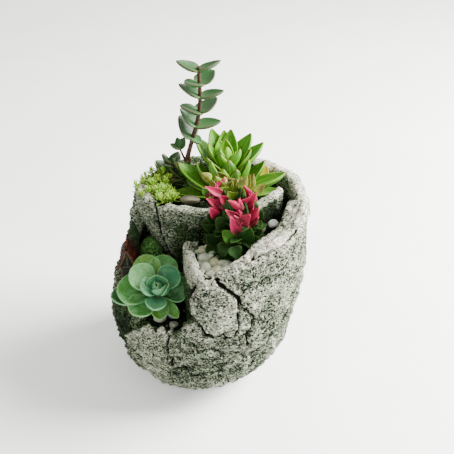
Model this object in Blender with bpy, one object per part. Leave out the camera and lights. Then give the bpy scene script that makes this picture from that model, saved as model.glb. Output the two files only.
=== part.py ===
"""Potted succulents in a broken jar of hand-built stoneware.

The jar leans to the right as it rises.  Its front left is broken away down to a ledge, behind
which a bowl wall and a lip slab keep three levels of soil apart.  A blue rosette grows on the
ledge, red crassulas in the middle pocket, and a green rosette, a tall stem plant and yellow
sedum in the upper bowl.  A small painted cottage and a ball of moss stand in the hollow at the
left.  Lengths below are in millimetres and angles in degrees.  Angles round the jar are
measured from +X, so that -90 is the front.  make_mesh() turns millimetres into metres.
"""

import math
import random

import bmesh
import bpy
import numpy as np
from mathutils import Matrix, Vector

MM = 0.001
GAP = 0.35  # between pieces that touch

# The jar: outer radius and centre at a few heights
JAR_LEVELS = (0, 5, 15, 32, 60, 95, 130, 160, 180)
JAR_RADII = (41, 49, 58, 71, 77, 77, 72.5, 70.5, 69.5)
JAR_CENTRES = (0, 1, 1.5, 2, 4, 10.6, 16, 18, 19)
WALL = 11
FLOOR = 10
RIM_ROUND = 3
COLUMNS = 64
OUTER_ROWS = (5, 15, 32, 52, 74, 96, 116, 136, 150)
INNER_ROWS = (14, 32, 58, 86, 114, 140)
ROW_SPACE = 1.6  # least height between rows that a low rim presses together

# Height of the rim round the jar: the ledge from -180 to -104, then the full wall
RIM = (
    (-180, 95), (-160, 94), (-151, 91), (-144, 85), (-138, 88), (-132, 86),
    (-127, 88), (-122, 84), (-117, 93), (-112, 86), (-107, 88), (-104, 99), (-101.5, 130),
    (-98.7, 135), (-94, 139), (-90, 142), (-82, 148), (-75, 152), (-67, 156), (-50, 161),
    (-35, 162), (-26, 168), (-18, 173), (-8, 170), (0, 168), (12, 167), (24, 171), (38, 168),
    (54, 167), (90, 166), (130, 165), (150, 161), (158, 163), (164, 165), (168, 140), (172, 96),
    (180, 95),
)

# The bowl wall: its front face in plan, with the height of its top
BOWL_LINE = (
    (-48.5, 17, 165), (-46.5, 11, 165), (-41, 6, 163), (-35, 0, 159), (-31, -4, 155),
    (-22, -7, 160), (-10, -9, 160), (0, -10.5, 159), (11, -12, 159), (23, -14, 158),
    (35, -13, 158), (46, -9, 160), (56, -3, 163), (64, 4, 165), (70.5, 11, 166),
)
BOWL_THICKNESS = 9
BOWL_STATIONS = 20
BOWL_ROWS = (58, 90, 104, 115, 126, 137, 147)
# Under its left part the bowl hangs over a hollow: lower edge of the face against x
OVERHANG = (
    (-50, 149), (-46, 146), (-43, 137), (-37, 131), (-29, 125), (-23, 117), (-16, 106), (-11, 80),
)
HOLLOW_DEPTH = 21
HOLLOW_RAMP = 17

# The lip slab between the ledge and the middle pocket: its left face in plan, and its top
LIP_LINE = (
    (-5, -8, 146), (-7.5, -20, 147), (-9, -32, 146), (-8, -43, 144), (-5, -53, 142),
    (0, -62, 139), (6, -68, 137),
)
LIP_THICKNESS = 9
LIP_STATIONS = 8
LIP_ROWS = (58, 100, 130)

# Soil
BURIED = 58  # the bowl wall and the lip slab start at this height
LEDGE_FRONT, LEDGE_BACK = 80, 95
POCKET_LEFT, POCKET_RIGHT = 129, 146
BOWL_SOIL = 156
SOIL_GAP = 0.8
STEM_DEPTH = 6  # of the plain holes that stems stand in
BASE_COLUMNS = 40


def smooth_curve(x, points):
    """Monotone cubic through (x, y) points, without overshoot."""
    xs = np.array([p[0] for p in points], float)
    ys = np.array([p[1] for p in points], float)
    x = np.clip(np.asarray(x, float), xs[0], xs[-1])
    run = np.diff(xs)
    slope = np.diff(ys) / run
    tangent = np.zeros(len(xs))
    for i in range(1, len(xs) - 1):
        if slope[i - 1] * slope[i] > 0:
            tangent[i] = 2 * slope[i - 1] * slope[i] / (slope[i - 1] + slope[i])
    i = np.clip(np.searchsorted(xs, x, side="right") - 1, 0, len(xs) - 2)
    t = (x - xs[i]) / run[i]
    return (
        (1 + 2 * t) * (1 - t) ** 2 * ys[i]
        + t * (1 - t) ** 2 * run[i] * tangent[i]
        + t * t * (3 - 2 * t) * ys[i + 1]
        + t * t * (t - 1) * run[i] * tangent[i + 1]
    )


def jar_radius(z):
    return float(smooth_curve(z, list(zip(JAR_LEVELS, JAR_RADII))))


def jar_centre(z):
    return float(smooth_curve(z, list(zip(JAR_LEVELS, JAR_CENTRES))))


def rim_height(angle):
    return float(smooth_curve(angle, RIM))


def hump(x, centre, half_width):
    """1 at the centre, 0 beyond half_width on either side."""
    t = max(0.0, 1 - abs(x - centre) / half_width)
    return t * t * (3 - 2 * t)


def relief(angle, z):
    """How far the hand-formed outer face stands out of the smooth jar."""
    a = math.radians(angle)
    waves = 0.5 * math.sin(3 * a + z / 21) + 0.45 * math.sin(7 * a - z / 13) * hump(z, 90, 85)
    boulder = 3.2 * hump(angle, -92, 13) * hump(z, 124, 22)
    folded_rim = 2.2 * hump(angle, -42, 34) * hump(z, rim_height(angle) - 7, 13)
    return waves * hump(z, 85, 84) + boulder + folded_rim


def jar_point(angle, z, inset=0.0, rough=0.0):
    a = math.radians(angle)
    r = jar_radius(z) - inset + rough * relief(angle, z)
    return (jar_centre(z) + r * math.cos(a), r * math.sin(a), z)


def material(name, colour, roughness=0.6, metallic=0.0):
    made = bpy.data.materials.new(name)
    made.use_nodes = True
    shader = made.node_tree.nodes["Principled BSDF"]
    shader.inputs["Base Color"].default_value = (*colour, 1)
    shader.inputs["Roughness"].default_value = roughness
    shader.inputs["Metallic"].default_value = metallic
    made.diffuse_color = (*colour, 1)
    return made


def make_mesh(name, points, faces, finish=None):
    """One object of the given points in millimetres."""
    mesh = bpy.data.meshes.new(name)
    mesh.from_pydata([tuple(c * MM for c in p) for p in points], [], faces)
    mesh.update()
    mesh.shade_smooth()
    mesh.set_sharp_from_angle(angle=math.radians(40))
    if finish:
        mesh.materials.append(finish)
    made = bpy.data.objects.new(name, mesh)
    bpy.context.scene.collection.objects.link(made)
    return made


def loft(rings):
    """Points and faces of a closed skin over rings of equal length, capped at both ends.

    The rings run anticlockwise seen from the last ring's side.
    """
    count = len(rings[0])
    points = [p for ring in rings for p in ring]
    faces = [tuple(reversed(range(count)))]
    for row in range(len(rings) - 1):
        for i in range(count):
            j = (i + 1) % count
            low, high = row * count, (row + 1) * count
            faces.append((low + i, low + j, high + j, high + i))
    faces.append(tuple(range((len(rings) - 1) * count, len(rings) * count)))
    return points, faces


def triangulate(target):
    """Splits the faces, so that uneven quads have the same diagonals everywhere."""
    work = bmesh.new()
    work.from_mesh(target.data)
    bmesh.ops.recalc_face_normals(work, faces=work.faces)
    bmesh.ops.triangulate(work, faces=work.faces)
    work.to_mesh(target.data)
    work.free()


def merge_flat_faces(mesh):
    """Takes away the edges that a join leaves across flat faces."""
    work = bmesh.new()
    work.from_mesh(mesh)
    bmesh.ops.dissolve_limit(work, angle_limit=math.radians(0.3), verts=work.verts, edges=work.edges)
    bmesh.ops.triangulate(work, faces=work.faces)
    work.to_mesh(mesh)
    work.free()


def apply_boolean(target, operation, cutters, solver="EXACT"):
    """Joins or cuts the target with all the cutters at once, and removes them."""
    group = bpy.data.collections.new("cutters")
    bpy.context.scene.collection.children.link(group)
    for cutter in cutters:
        group.objects.link(cutter)
    step = target.modifiers.new("boolean", "BOOLEAN")
    step.operation = operation
    step.operand_type = "COLLECTION"
    step.collection = group
    step.solver = solver
    seen = target.evaluated_get(bpy.context.evaluated_depsgraph_get())
    finished = bpy.data.meshes.new_from_object(seen)
    target.modifiers.clear()
    target.data = finished
    for cutter in cutters:
        bpy.data.objects.remove(cutter)
    bpy.data.collections.remove(group)
    merge_flat_faces(finished)
    finished.shade_smooth()
    finished.set_sharp_from_angle(angle=math.radians(40))
    return target


# Jar


def wall_rows(levels, top):
    """The levels, pressed together under a low rim."""
    count = len(levels)
    return [min(z, top - (count - i) * ROW_SPACE) for i, z in enumerate(levels)]


def jar_column(angle):
    """One upright section of the wall, from the outside of the base over the rim to the floor."""
    top = rim_height(angle)
    points = [jar_point(angle, 0)]
    points += [jar_point(angle, z, 0, 1) for z in wall_rows(OUTER_ROWS, top - RIM_ROUND)]
    points.append(jar_point(angle, top - RIM_ROUND, 0, 1))
    points.append(jar_point(angle, top, RIM_ROUND))
    points.append(jar_point(angle, top - 0.3, WALL - RIM_ROUND))
    points.append(jar_point(angle, top - RIM_ROUND, WALL))
    inner = wall_rows(INNER_ROWS, top - RIM_ROUND)
    points += [jar_point(angle, z, WALL) for z in reversed(inner)]
    points.append(jar_point(angle, FLOOR, WALL + 6))
    return points


def make_shell(finish):
    columns = [jar_column(-180 + 360 * i / COLUMNS) for i in range(COLUMNS)]
    rings = [list(ring) for ring in zip(*columns)]
    return make_mesh("pot", *loft(rings), finish)


def line_station(line, t):
    """Point, top height and direction at the fraction t of a plan line."""
    runs = [0.0]
    for a, b in zip(line, line[1:]):
        runs.append(runs[-1] + math.dist(a[:2], b[:2]))
    at = [r / runs[-1] for r in runs]
    value = [float(smooth_curve(t, list(zip(at, [p[k] for p in line])))) for k in range(3)]
    step = 0.01
    ends = [
        [float(smooth_curve(min(max(u, 0), 1), list(zip(at, [p[k] for p in line])))) for k in range(2)]
        for u in (t - step, t + step)
    ]
    dx, dy = ends[1][0] - ends[0][0], ends[1][1] - ends[0][1]
    size = math.hypot(dx, dy)
    return value, (-dy / size, dx / size)


def hollow_recess(x, z):
    """How far the face draws back under the hanging part of the bowl."""
    if x > OVERHANG[-1][0]:
        return 0.0
    t = (float(smooth_curve(x, OVERHANG)) - z) / HOLLOW_RAMP
    t = min(max(t, 0.0), 1.0)
    fade = min(1.0, (OVERHANG[-1][0] - x) / 14)
    return HOLLOW_DEPTH * t * t * (3 - 2 * t) * fade


def bowl_point(t, z, depth=0.0):
    (x, y, _), (nx, ny) = line_station(BOWL_LINE, t)
    return (x + nx * depth, y + ny * depth + hollow_recess(x, z), z)


def lip_point(t, z, depth=0.0):
    (x, y, _), (nx, ny) = line_station(LIP_LINE, t)
    return (x + nx * depth, y + ny * depth, z)


def slab_rings(line, point, rows, thickness, stations):
    """Upright sections of a wall along a plan line."""
    rings = []
    for i in range(stations):
        t = i / (stations - 1)
        top = line_station(line, t)[0][2]
        levels = wall_rows(rows, top - RIM_ROUND) + [top - RIM_ROUND]
        ring = [point(t, z) for z in levels]
        ring += [point(t, top, RIM_ROUND), point(t, top, thickness - RIM_ROUND)]
        ring += [point(t, z, thickness) for z in reversed(levels)]
        rings.append(ring)
    return rings


def make_pot():
    finish = material("stoneware", (0.50, 0.46, 0.40), 0.9)
    pot = make_shell(finish)
    bowl_rings = slab_rings(BOWL_LINE, bowl_point, BOWL_ROWS, BOWL_THICKNESS, BOWL_STATIONS)
    lip_rings = slab_rings(LIP_LINE, lip_point, LIP_ROWS, LIP_THICKNESS, LIP_STATIONS)
    bowl = make_mesh("bowl", *loft(bowl_rings))
    lip = make_mesh("lip", *loft(lip_rings))
    for piece in (pot, bowl, lip):
        triangulate(piece)
    return apply_boolean(pot, "UNION", [bowl, lip])


# Soil


def ledge_top(x, y):
    """The soil of the ledge, which climbs towards the hollow."""
    t = min(max((y + 52) / 36, 0), 1)
    return LEDGE_FRONT + (LEDGE_BACK - LEDGE_FRONT) * t * t * (3 - 2 * t)


def pocket_top(x, y):
    """The soil of the middle pocket, which climbs to the right."""
    t = min(max((x - 30) / 32, 0), 1)
    return POCKET_LEFT + (POCKET_RIGHT - POCKET_LEFT) * t * t * (3 - 2 * t)


def bowl_top(x, y):
    return BOWL_SOIL


def arc(first, last, count, z):
    """Points along the inside of the jar."""
    return [
        jar_point(first + (last - first) * i / (count - 1), z, WALL + 2 * SOIL_GAP)
        for i in range(count)
    ]


def along(point, stations, first, last, z, depth):
    """Points beside a slab from one of its stations to another, on a slightly uneven line."""
    step = 1 if last > first else -1
    return [
        point(i / (stations - 1), z, depth + 0.25 * math.sin(z / 9 + 2.3 * i))
        for i in range(first, last + step, step)
    ]


def ledge_outline(z):
    """The ledge in plan, anticlockwise: the jar, the lip slab and the hollow's back."""
    lip = along(lip_point, LIP_STATIONS, 6, 1, z, -SOIL_GAP)
    hollow = along(bowl_point, BOWL_STATIONS, 7, 2, z, -1.5 * SOIL_GAP)
    return lip + hollow + arc(156, 259, 18, z)


def pocket_outline(z):
    front = arc(-79, 2, 15, z)
    back = along(bowl_point, BOWL_STATIONS, 18, 10, z, -SOIL_GAP)
    return front + back + along(lip_point, LIP_STATIONS, 1, 6, z, LIP_THICKNESS + SOIL_GAP)


def bowl_outline(z):
    t = min(max((z - 128) / 24, 0), 1)
    back_left = 137 + 20 * t * t * (3 - 2 * t)
    front = along(bowl_point, BOWL_STATIONS, 3, 19, z, BOWL_THICKNESS + SOIL_GAP)
    return front + arc(16, back_left, 22, z)


def make_soil(name, outline, levels, top, centre, holes, finish):
    """A filling between upright walls, with an uneven top and plain holes for stems."""
    rings = [outline(z) for z in levels]
    edge = []
    for i, (x, y, z) in enumerate(rings[-1]):
        angle = math.degrees(math.atan2(y, x - jar_centre(z)))
        edge.append(outline(min(top(x, y), rim_height(angle) - RIM_ROUND))[i])
    rings.append(edge)
    for scale in (0.72, 0.42, 0.15) if centre else ():
        ring = []
        for x, y, _ in edge:
            px, py = centre[0] + scale * (x - centre[0]), centre[1] + scale * (y - centre[1])
            ring.append((px, py, top(px, py) if scale > 0.2 else top(*centre)))
        rings.append(ring)
    soil = make_mesh(name, *loft(rings), finish)
    triangulate(soil)
    if holes:
        apply_boolean(soil, "DIFFERENCE", [hole_cutter(*hole, top) for hole in holes], "MANIFOLD")
    return soil


def hole_cutter(x, y, radius, top):
    level = top(x, y)
    points = [(x, y, level - STEM_DEPTH - GAP), (x, y, level + 12)]
    return make_mesh("hole", *tube(points, radius + 2 * GAP, 10))


def make_soils():
    finish = material("potting_soil", (0.045, 0.035, 0.025), 0.95)
    base_rows = [(FLOOR + GAP, WALL + 7)] + [(z, WALL + SOIL_GAP) for z in (15, 32, BURIED - GAP)]
    turn = 360 / BASE_COLUMNS
    base = [
        [jar_point(i * turn - 180, z, inset) for i in range(BASE_COLUMNS)] for z, inset in base_rows
    ]
    triangulate(make_mesh("soil_base", *loft(base), finish))
    low = BURIED + GAP
    pocket_levels = (low, 86, 114)
    bowl_levels = (low, *BOWL_ROWS[1:])
    make_soil("soil_ledge", ledge_outline, (low, 63), ledge_top, (-30, -20), [BLUE_HOLE], finish)
    make_soil("soil_pocket", pocket_outline, pocket_levels, pocket_top, (38, -30), RED_HOLES, finish)
    make_soil("soil_bowl", bowl_outline, bowl_levels, bowl_top, None, BOWL_HOLES, finish)


# Leaves and stems


def tube(points, radius, sides):
    """A round stem along points, thinning to its end if radius is a pair."""
    first, last = radius if isinstance(radius, tuple) else (radius, radius)
    rings = []
    for i, p in enumerate(points):
        here = Vector(p)
        before, after = Vector(points[max(i - 1, 0)]), Vector(points[min(i + 1, len(points) - 1)])
        run = (after - before).normalized()
        across = Vector((0.0, 1.0, 0.0)) if abs(run.y) < 0.9 else Vector((1.0, 0.0, 0.0))
        side = run.cross(across).normalized()
        up = run.cross(side)
        r = first + (last - first) * i / (len(points) - 1)
        rings.append([
            tuple(here + r * (math.cos(a) * side + math.sin(a) * up))
            for a in (2 * math.pi * k / sides for k in range(sides))
        ])
    return loft(rings)


ROOT_SINK = 1.2  # how far past the stem's middle a leaf starts
# half width of a leaf against the fraction of its length
SPOON = ((0, 0.24), (0.25, 0.46), (0.5, 0.86), (0.7, 1.0), (0.86, 0.86), (0.96, 0.44), (1, 0.08))
BOAT = ((0, 0.42), (0.25, 0.86), (0.45, 1.0), (0.7, 0.80), (0.88, 0.42), (1, 0.06))
HEART = ((0, 0.36), (0.18, 0.90), (0.35, 1.0), (0.6, 0.80), (0.82, 0.46), (1, 0.07))
SCALE = ((0, 0.42), (0.25, 1.0), (0.5, 0.92), (0.75, 0.55), (1, 0.09))
FIVE_STATIONS = (0, 0.3, 0.6, 0.85, 1)


def blade(length, width, thickness, outline, bend, cup, stations=FIVE_STATIONS, simple=False):
    """A thick leaf along +X with its upper face up, its edges lifted by cup and its tip by bend.

    Its section has six corners, or four if it is simple.
    """
    rings = []
    for u in stations:
        half = max(width / 2 * float(smooth_curve(u, outline)), 0.45)
        thick = max(thickness * math.sqrt(max(1 - u ** 3, 0)) * min(1.0, 0.75 + u), 0.65)
        middle = bend * length * u * u
        edge = middle + cup * half
        x = length * u - ROOT_SINK
        if simple:
            ridge, keel = middle + thick * 0.4, middle - thick * 0.6
            rings.append([(x, half, edge), (x, 0, ridge), (x, -half, edge), (x, 0, keel)])
            continue
        upper = middle + cup * half * 0.4 + thick * 0.42
        lower = middle - thick * 0.55
        rings.append([
            (x, half, edge), (x, 0.5 * half, upper), (x, -0.5 * half, upper),
            (x, -half, edge), (x, -0.5 * half, lower), (x, 0.5 * half, lower),
        ])
    return loft(rings)


def aim(root, azimuth, elevation, roll=0.0):
    """Places a leaf at its root, pointing along a direction."""
    turn = Matrix.Rotation(math.radians(azimuth), 4, "Z")
    turn = turn @ Matrix.Rotation(-math.radians(elevation), 4, "Y")
    return Matrix.Translation(Vector(root)) @ turn @ Matrix.Rotation(math.radians(roll), 4, "X")


def placed(shape, matrix):
    points, faces = shape
    return [tuple(matrix @ Vector(p)) for p in points], faces


def fuse(name, shapes, finish):
    """Joins shapes that cross each other into one solid."""
    parts = []
    for i, shape in enumerate(shapes):
        parts.append(make_mesh(f"{name}_{i}" if i else name, *shape, None if i else finish))
        triangulate(parts[-1])
    if len(parts) > 1:
        apply_boolean(parts[0], "UNION", parts[1:])
    return parts[0]


# Blue rosette on the ledge

BLUE_ROOT = (-31, -37, 102)
BLUE_TILT = 22  # towards the front
BLUE_HOLE = (-31, -36, 3.6)
# azimuth, elevation, length, width, height of the root on the core
BLUE_LEAVES = (
    (180, 3, 31, 23, -2.5), (-164, -5, 34, 18, -4), (110, 6, 31, 21, -2.5), (74, 6, 30, 21, -2.5),
    (-62, -3, 29, 14, -3.5), (-127, 1, 27, 20, -2.5), (146, -5, 28, 18, -4), (36, -3, 23, 17, -3.5),
    (-95, -5, 24, 15, -4), (-22, -1, 21, 15, -3),
    (133, 20, 26, 21, 0), (50, 22, 23, 19, 0), (5, 18, 21, 17, -0.5), (-90, 24, 19, 17, 0),
    (164, 44, 15, 13, 2), (-8, 46, 13, 12, 2), (84, 50, 13, 13, 2.5), (-72, 60, 10, 10, 3),
    (215, 66, 9, 9, 3), (28, 74, 9, 8, 3.5),
)


def make_blue_rosette():
    finish = material("blue_green_leaf", (0.20, 0.36, 0.26), 0.5)
    x, y, z = BLUE_ROOT
    tilt = Matrix.Translation(Vector(BLUE_ROOT)) @ Matrix.Rotation(math.radians(BLUE_TILT), 4, "X")
    hole_x, hole_y, radius = BLUE_HOLE
    foot = ledge_top(hole_x, hole_y) - STEM_DEPTH
    line = [(hole_x, hole_y, foot), (hole_x, hole_y, foot + 9), (x, y, z - 3), (x, y - 1, z + 3)]
    shapes = [tube(line, (radius, 5), 10)]
    for azimuth, elevation, length, width, rise in BLUE_LEAVES:
        thick = 1.6 + 0.055 * length
        leaf = blade(length, width, thick, SPOON, bend=0.10, cup=0.30)
        shapes.append(placed(leaf, tilt @ aim((0, 0, rise), azimuth, elevation)))
    return fuse("blue_rosette", shapes, finish)


# Green rosette in the bowl

GREEN_ROOT = (24, 28, 165)
GREEN_HOLE = (24, 28, 3.2)
# azimuth, elevation, length, width, height of the root on the core
GREEN_LEAVES = (
    (150, 44, 42, 13, 0), (126, 58, 42, 13, 1), (118, 62, 31, 11, 2), (95, 60, 38, 12, 2),
    (75, 62, 40, 12, 1), (92, 74, 31, 10, 3), (-60, 78, 30, 9, 3), (35, 49, 42, 13, 1),
    (20, 36, 43, 14, 0), (-3, 7, 49, 14, -2), (-75, 60, 24, 9, 2), (-177, 16, 40, 12, -1),
    (-157, -4, 42, 12.5, -4), (60, 22, 38, 13, -2), (105, 20, 36, 13, -2), (-120, 40, 24, 10, 1),
    (-32, 30, 30, 11, 0), (140, 8, 34, 12, -3.5),
)
YELLOW_LEAF = (52, 36, 158.2, 60, 38, 15, 11)  # root, azimuth, elevation, length, width


def make_green_rosette():
    finish = material("green_leaf", (0.20, 0.38, 0.07), 0.45)
    x, y, z = GREEN_ROOT
    radius = GREEN_HOLE[2]
    foot = BOWL_SOIL - STEM_DEPTH
    shapes = [tube([(x, y, foot), (x, y, foot + 7), (x, y, z), (x, y, z + 6)], (radius, 4.2), 10)]
    for azimuth, elevation, length, width, rise in GREEN_LEAVES:
        leaf = blade(length, width, 3.2, BOAT, 0.07, 0.42, (0, 0.3, 0.7, 1))
        shapes.append(placed(leaf, aim((x, y, z + rise), azimuth, elevation)))
    return fuse("green_rosette", shapes, finish)


def make_yellow_leaf():
    finish = material("yellow_leaf", (0.70, 0.45, 0.08), 0.6)
    x, y, z, azimuth, elevation, length, width = YELLOW_LEAF
    leaf = blade(length, width, 1.6, BOAT, bend=0.1, cup=0.3)
    return fuse("yellow_leaf", [placed(leaf, aim((x, y, z), azimuth, elevation))], finish)


# Tall stem plant in the bowl

TALL_STEM = (
    (-10, 34, 150), (-9.5, 34.5, 160), (-8.5, 35, 170), (-7, 36, 180), (-3, 36, 195), (1, 36, 208),
    (3.6, 36, 221), (4.6, 36, 234), (4.1, 36, 246), (3.6, 36, 258),
)
TALL_HOLE = (-10, 34, 1.7)
# position along the stem (an index into TALL_STEM), then azimuth, elevation, length and width of
# the two leaves that face each other
TALL_PAIRS = (
    (8.8, (180, 16, 19, 10), (2, 16, 19, 10)),
    (7.9, (222, 14, 18, 13), (38, 16, 18, 13)),
    (7.0, (176, 24, 20, 12), (-6, 10, 20, 12)),
    (6.0, (208, 28, 21, 14), (26, 16, 20, 14)),
    (5.1, (158, 34, 19, 12), (-8, 8, 21, 13)),
    (4.3, (140, 46, 18, 13), (-40, -22, 17, 13)),
)
SIDE_SHOOT = ((-7.6, 35.6, 176), (-10.5, 35, 182), (-12.6, 34, 190))
SIDE_PAIR = ((200, 22, 9.5, 9), (50, 40, 9.5, 9), (120, 50, 9, 8))
LOW_SHOOT = ((-19, 41, 150), (-19, 41, 158), (-20, 40, 166), (-21, 39, 173))
LOW_HOLE = (-19, 41, 1.7)
BOWL_HOLES = (GREEN_HOLE, TALL_HOLE, LOW_HOLE)
LOW_PAIRS = (
    (1.9, (165, 16, 15, 12), (20, 14, 12, 10)),
    (2.9, (250, 40, 13, 11), (75, 30, 12, 11)),
)


def point_along(line, position):
    i = min(int(position), len(line) - 2)
    return Vector(line[i]).lerp(Vector(line[i + 1]), position - i)


def leafy_stem(name, line, radius, pairs, finish, extra=()):
    """A stem with its leaves in facing pairs."""
    shapes = [tube(line, radius, 6)] + list(extra)
    rng = random.Random(name)
    for position, *pair in pairs:
        for azimuth, elevation, length, width in pair:
            root = point_along(line, position) + Vector((0, 0, rng.uniform(-0.3, 0.3)))
            leaf = blade(length, width, 2.1, HEART, 0.10, 0.30, simple=True)
            shapes.append(placed(leaf, aim(root, azimuth, elevation, rng.uniform(-8, 8))))
    return fuse(name, shapes, finish)


def make_tall_plant():
    finish = material("dull_green_leaf", (0.14, 0.24, 0.13), 0.5)
    shoot = [tube(SIDE_SHOOT, (1.1, 0.8), 6)]
    for azimuth, elevation, length, width in SIDE_PAIR:
        leaf = blade(length, width, 1.9, HEART, 0.1, 0.25, simple=True)
        shoot.append(placed(leaf, aim(SIDE_SHOOT[-1], azimuth, elevation)))
    leafy_stem("tall_stem_plant", TALL_STEM, (1.6, 1.0), TALL_PAIRS, finish, shoot)
    leafy_stem("low_shoot", LOW_SHOOT, (1.5, 1.1), LOW_PAIRS, finish)


# Red crassulas in the middle pocket

# plan place of the foot, of the head, height of the head's top, number of green pairs, azimuth of
# the lowest pair
RED_STEMS = (
    ("left", (17, -25), (13, -24), 181, 3, 20),
    ("middle", (33, -37), (31, -37), 179, 3, 65),
    ("right", (46, -31), (48, -26), 181, 3, 30),
    ("back", (31, -25), (29, -17), 192, 4, 0),
)
RED_RADIUS = 1.7
RED_HOLES = [(x, y, RED_RADIUS) for _, (x, y), _, _, _, _ in RED_STEMS]
RED_PITCH = 5.6  # between pairs of leaves
RED_TIP_PAIRS = 3
BOWL_FACE = -17.5  # leaves in front of the bowl wall turn up before they reach this y


def red_line(foot, head, top):
    """The stem leans from its foot to its head."""
    low = pocket_top(*foot) - STEM_DEPTH
    line = []
    for i in range(6):
        t = i / 5
        lean = t * t * (3 - 2 * t)
        x, y = foot[0] + (head[0] - foot[0]) * lean, foot[1] + (head[1] - foot[1]) * lean
        line.append((x, y, low + (top - low) * t))
    return line


def crassula_shapes(line, first, count, azimuth, length, width, elevations):
    """Pairs of scale-like leaves, each pair turned across the one below."""
    shapes = []
    rng = random.Random(f"{azimuth} {first:.1f}")
    top = line[-1][2]
    low = line[0][2]
    for i in range(count):
        z = top - first - i * RED_PITCH
        root = point_along(line, (z - low) / (top - low) * (len(line) - 1))
        turn = azimuth + 90 * (i % 2) + 11 * i
        size = 1 + 0.07 * i
        for facing in (0, 180):
            elevation = elevations[0] + (elevations[1] - elevations[0]) * i / max(count - 1, 1)
            backward = length * size * math.sin(math.radians(turn + facing))
            room = BOWL_FACE - root.y
            if z < BOWL_SOIL + 6 and backward > room:
                elevation = math.degrees(math.acos(room / backward))
            leaf = blade(length * size, width * size, 2.4, SCALE, 0.12, 0.30, (0, 0.35, 1), True)
            uneven = root + Vector((0, 0, rng.uniform(-0.4, 0.4)))
            way = turn + facing + rng.uniform(-6, 6)
            shapes.append(placed(leaf, aim(uneven, way, elevation, rng.uniform(-7, 7))))
    return shapes


def split_line(line, z, above):
    """The part of a stem above or below a height."""
    low, top = line[0][2], line[-1][2]
    cut = point_along(line, (z - low) / (top - low) * (len(line) - 1))
    kept = [p for p in line if (p[2] > z + 0.5 if above else p[2] < z - 0.5)]
    return [tuple(cut)] + kept if above else kept + [tuple(cut)]


def make_crassulas():
    green = material("crassula_green", (0.07, 0.15, 0.04), 0.5)
    pink = material("crassula_pink", (0.55, 0.05, 0.14), 0.5)
    for name, foot, head, top, pairs, azimuth in RED_STEMS:
        line = red_line(foot, head, top)
        first_green = 2.5 + RED_TIP_PAIRS * RED_PITCH
        join = top - first_green + 2.2
        tip = [tube(split_line(line, join + GAP, True), RED_RADIUS, 6)]
        tip += crassula_shapes(line, 1.5, RED_TIP_PAIRS, azimuth, 10, 6.5, (62, 34))
        foot_shapes = [tube(split_line(line, join, False), RED_RADIUS, 6)]
        foot_shapes += crassula_shapes(line, first_green + 1.5, pairs, azimuth + 45, 11, 8, (24, 4))
        fuse(f"crassula_{name}_tip", tip, pink)
        fuse(f"crassula_{name}_foot", foot_shapes, green)


# Pebbles, stones, moss and the cottage


def lump(centre, size, seed, detail=2, flat=None):
    """An uneven rounded stone, with a flat underside at the height flat."""
    rng = random.Random(seed)
    waves = [
        (rng.uniform(0, 6.3), Vector([rng.uniform(-1, 1) for _ in range(3)]) * 2.2) for _ in range(4)
    ]
    ball = bmesh.new()
    bmesh.ops.create_icosphere(ball, subdivisions=detail, radius=1)
    points = []
    for vertex in ball.verts:
        swell = 1 + 0.055 * sum(math.sin(vertex.co.dot(direction) + phase) for phase, direction in waves)
        p = [centre[k] + size[k] * vertex.co[k] * swell for k in range(3)]
        points.append((p[0], p[1], max(p[2], flat) if flat is not None else p[2]))
    faces = [tuple(v.index for v in face.verts) for face in ball.faces]
    ball.free()
    return points, faces


# plan place and radius
PEBBLES = (
    (7.2, -26, 5), (13.5, -31.5, 5), (7.6, -35, 5.6), (15, -40.5, 5.8), (9.4, -45.5, 5.2),
    (17, -51, 5.6), (23.5, -43.5, 5.4), (25, -52.5, 5.2), (30, -46.5, 4.6), (12.6, -54.5, 4.4),
)
STONES = {
    "stone_ledge_white": ((-27.2, -48.5), (6, 4.4, 4), 22),
    "stone_ledge_right": ((-16.5, -46), (5.4, 4.2, 4.4), 23),
    "stone_ledge_small": ((-16.6, -55), (3.8, 3.4, 3.2), 24),
}
RIGHT_PEBBLES = ((50.5, -14.5, 4.6), (61, -13, 4.2))
BARK_STONE = ((-5, 6.6), (8.5, 4.4, 4.2), 31)
MOSS_BALL = ((-35, 3), 10, 41)
SEDUM_CENTRE, SEDUM_SIZE = (-24, 22), (11.5, 11, 9)
SEDUM_LEAVES = 28


def on_soil(x, y, top):
    return top(x, y) + GAP


def make_stones():
    white = material("white_pebble", (0.66, 0.68, 0.62), 0.6)
    grey = material("grey_stone", (0.32, 0.31, 0.27), 0.85)
    bed = []
    for i, (x, y, r) in enumerate(PEBBLES):
        flat = on_soil(x, y, pocket_top)
        bed.append(lump((x, y, flat + 0.62 * r), (r, r * 0.92, r * 0.8), 51 + i, 2, flat))
    fuse("pebble_bed", bed, white)
    for i, (x, y, r) in enumerate(RIGHT_PEBBLES):
        flat = on_soil(x + r * 0.5, y, pocket_top)
        pebble = lump((x, y, flat + 0.7 * r), (r, r, r * 0.8), 71 + i, 2, flat)
        fuse(f"pebble_right_{i + 1}", [pebble], white)
    for name, ((x, y), size, seed) in STONES.items():
        flat = on_soil(x, y + size[1] * 1.15, ledge_top)
        fuse(name, [lump((x, y, flat + 0.5 * size[2]), size, seed, 2, flat)], grey)
    (x, y), size, seed = BARK_STONE
    flat = BOWL_SOIL + GAP
    fuse("bark_stone", [lump((x, y, flat + 0.6 * size[2]), size, seed, 2, flat)], grey)


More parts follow.
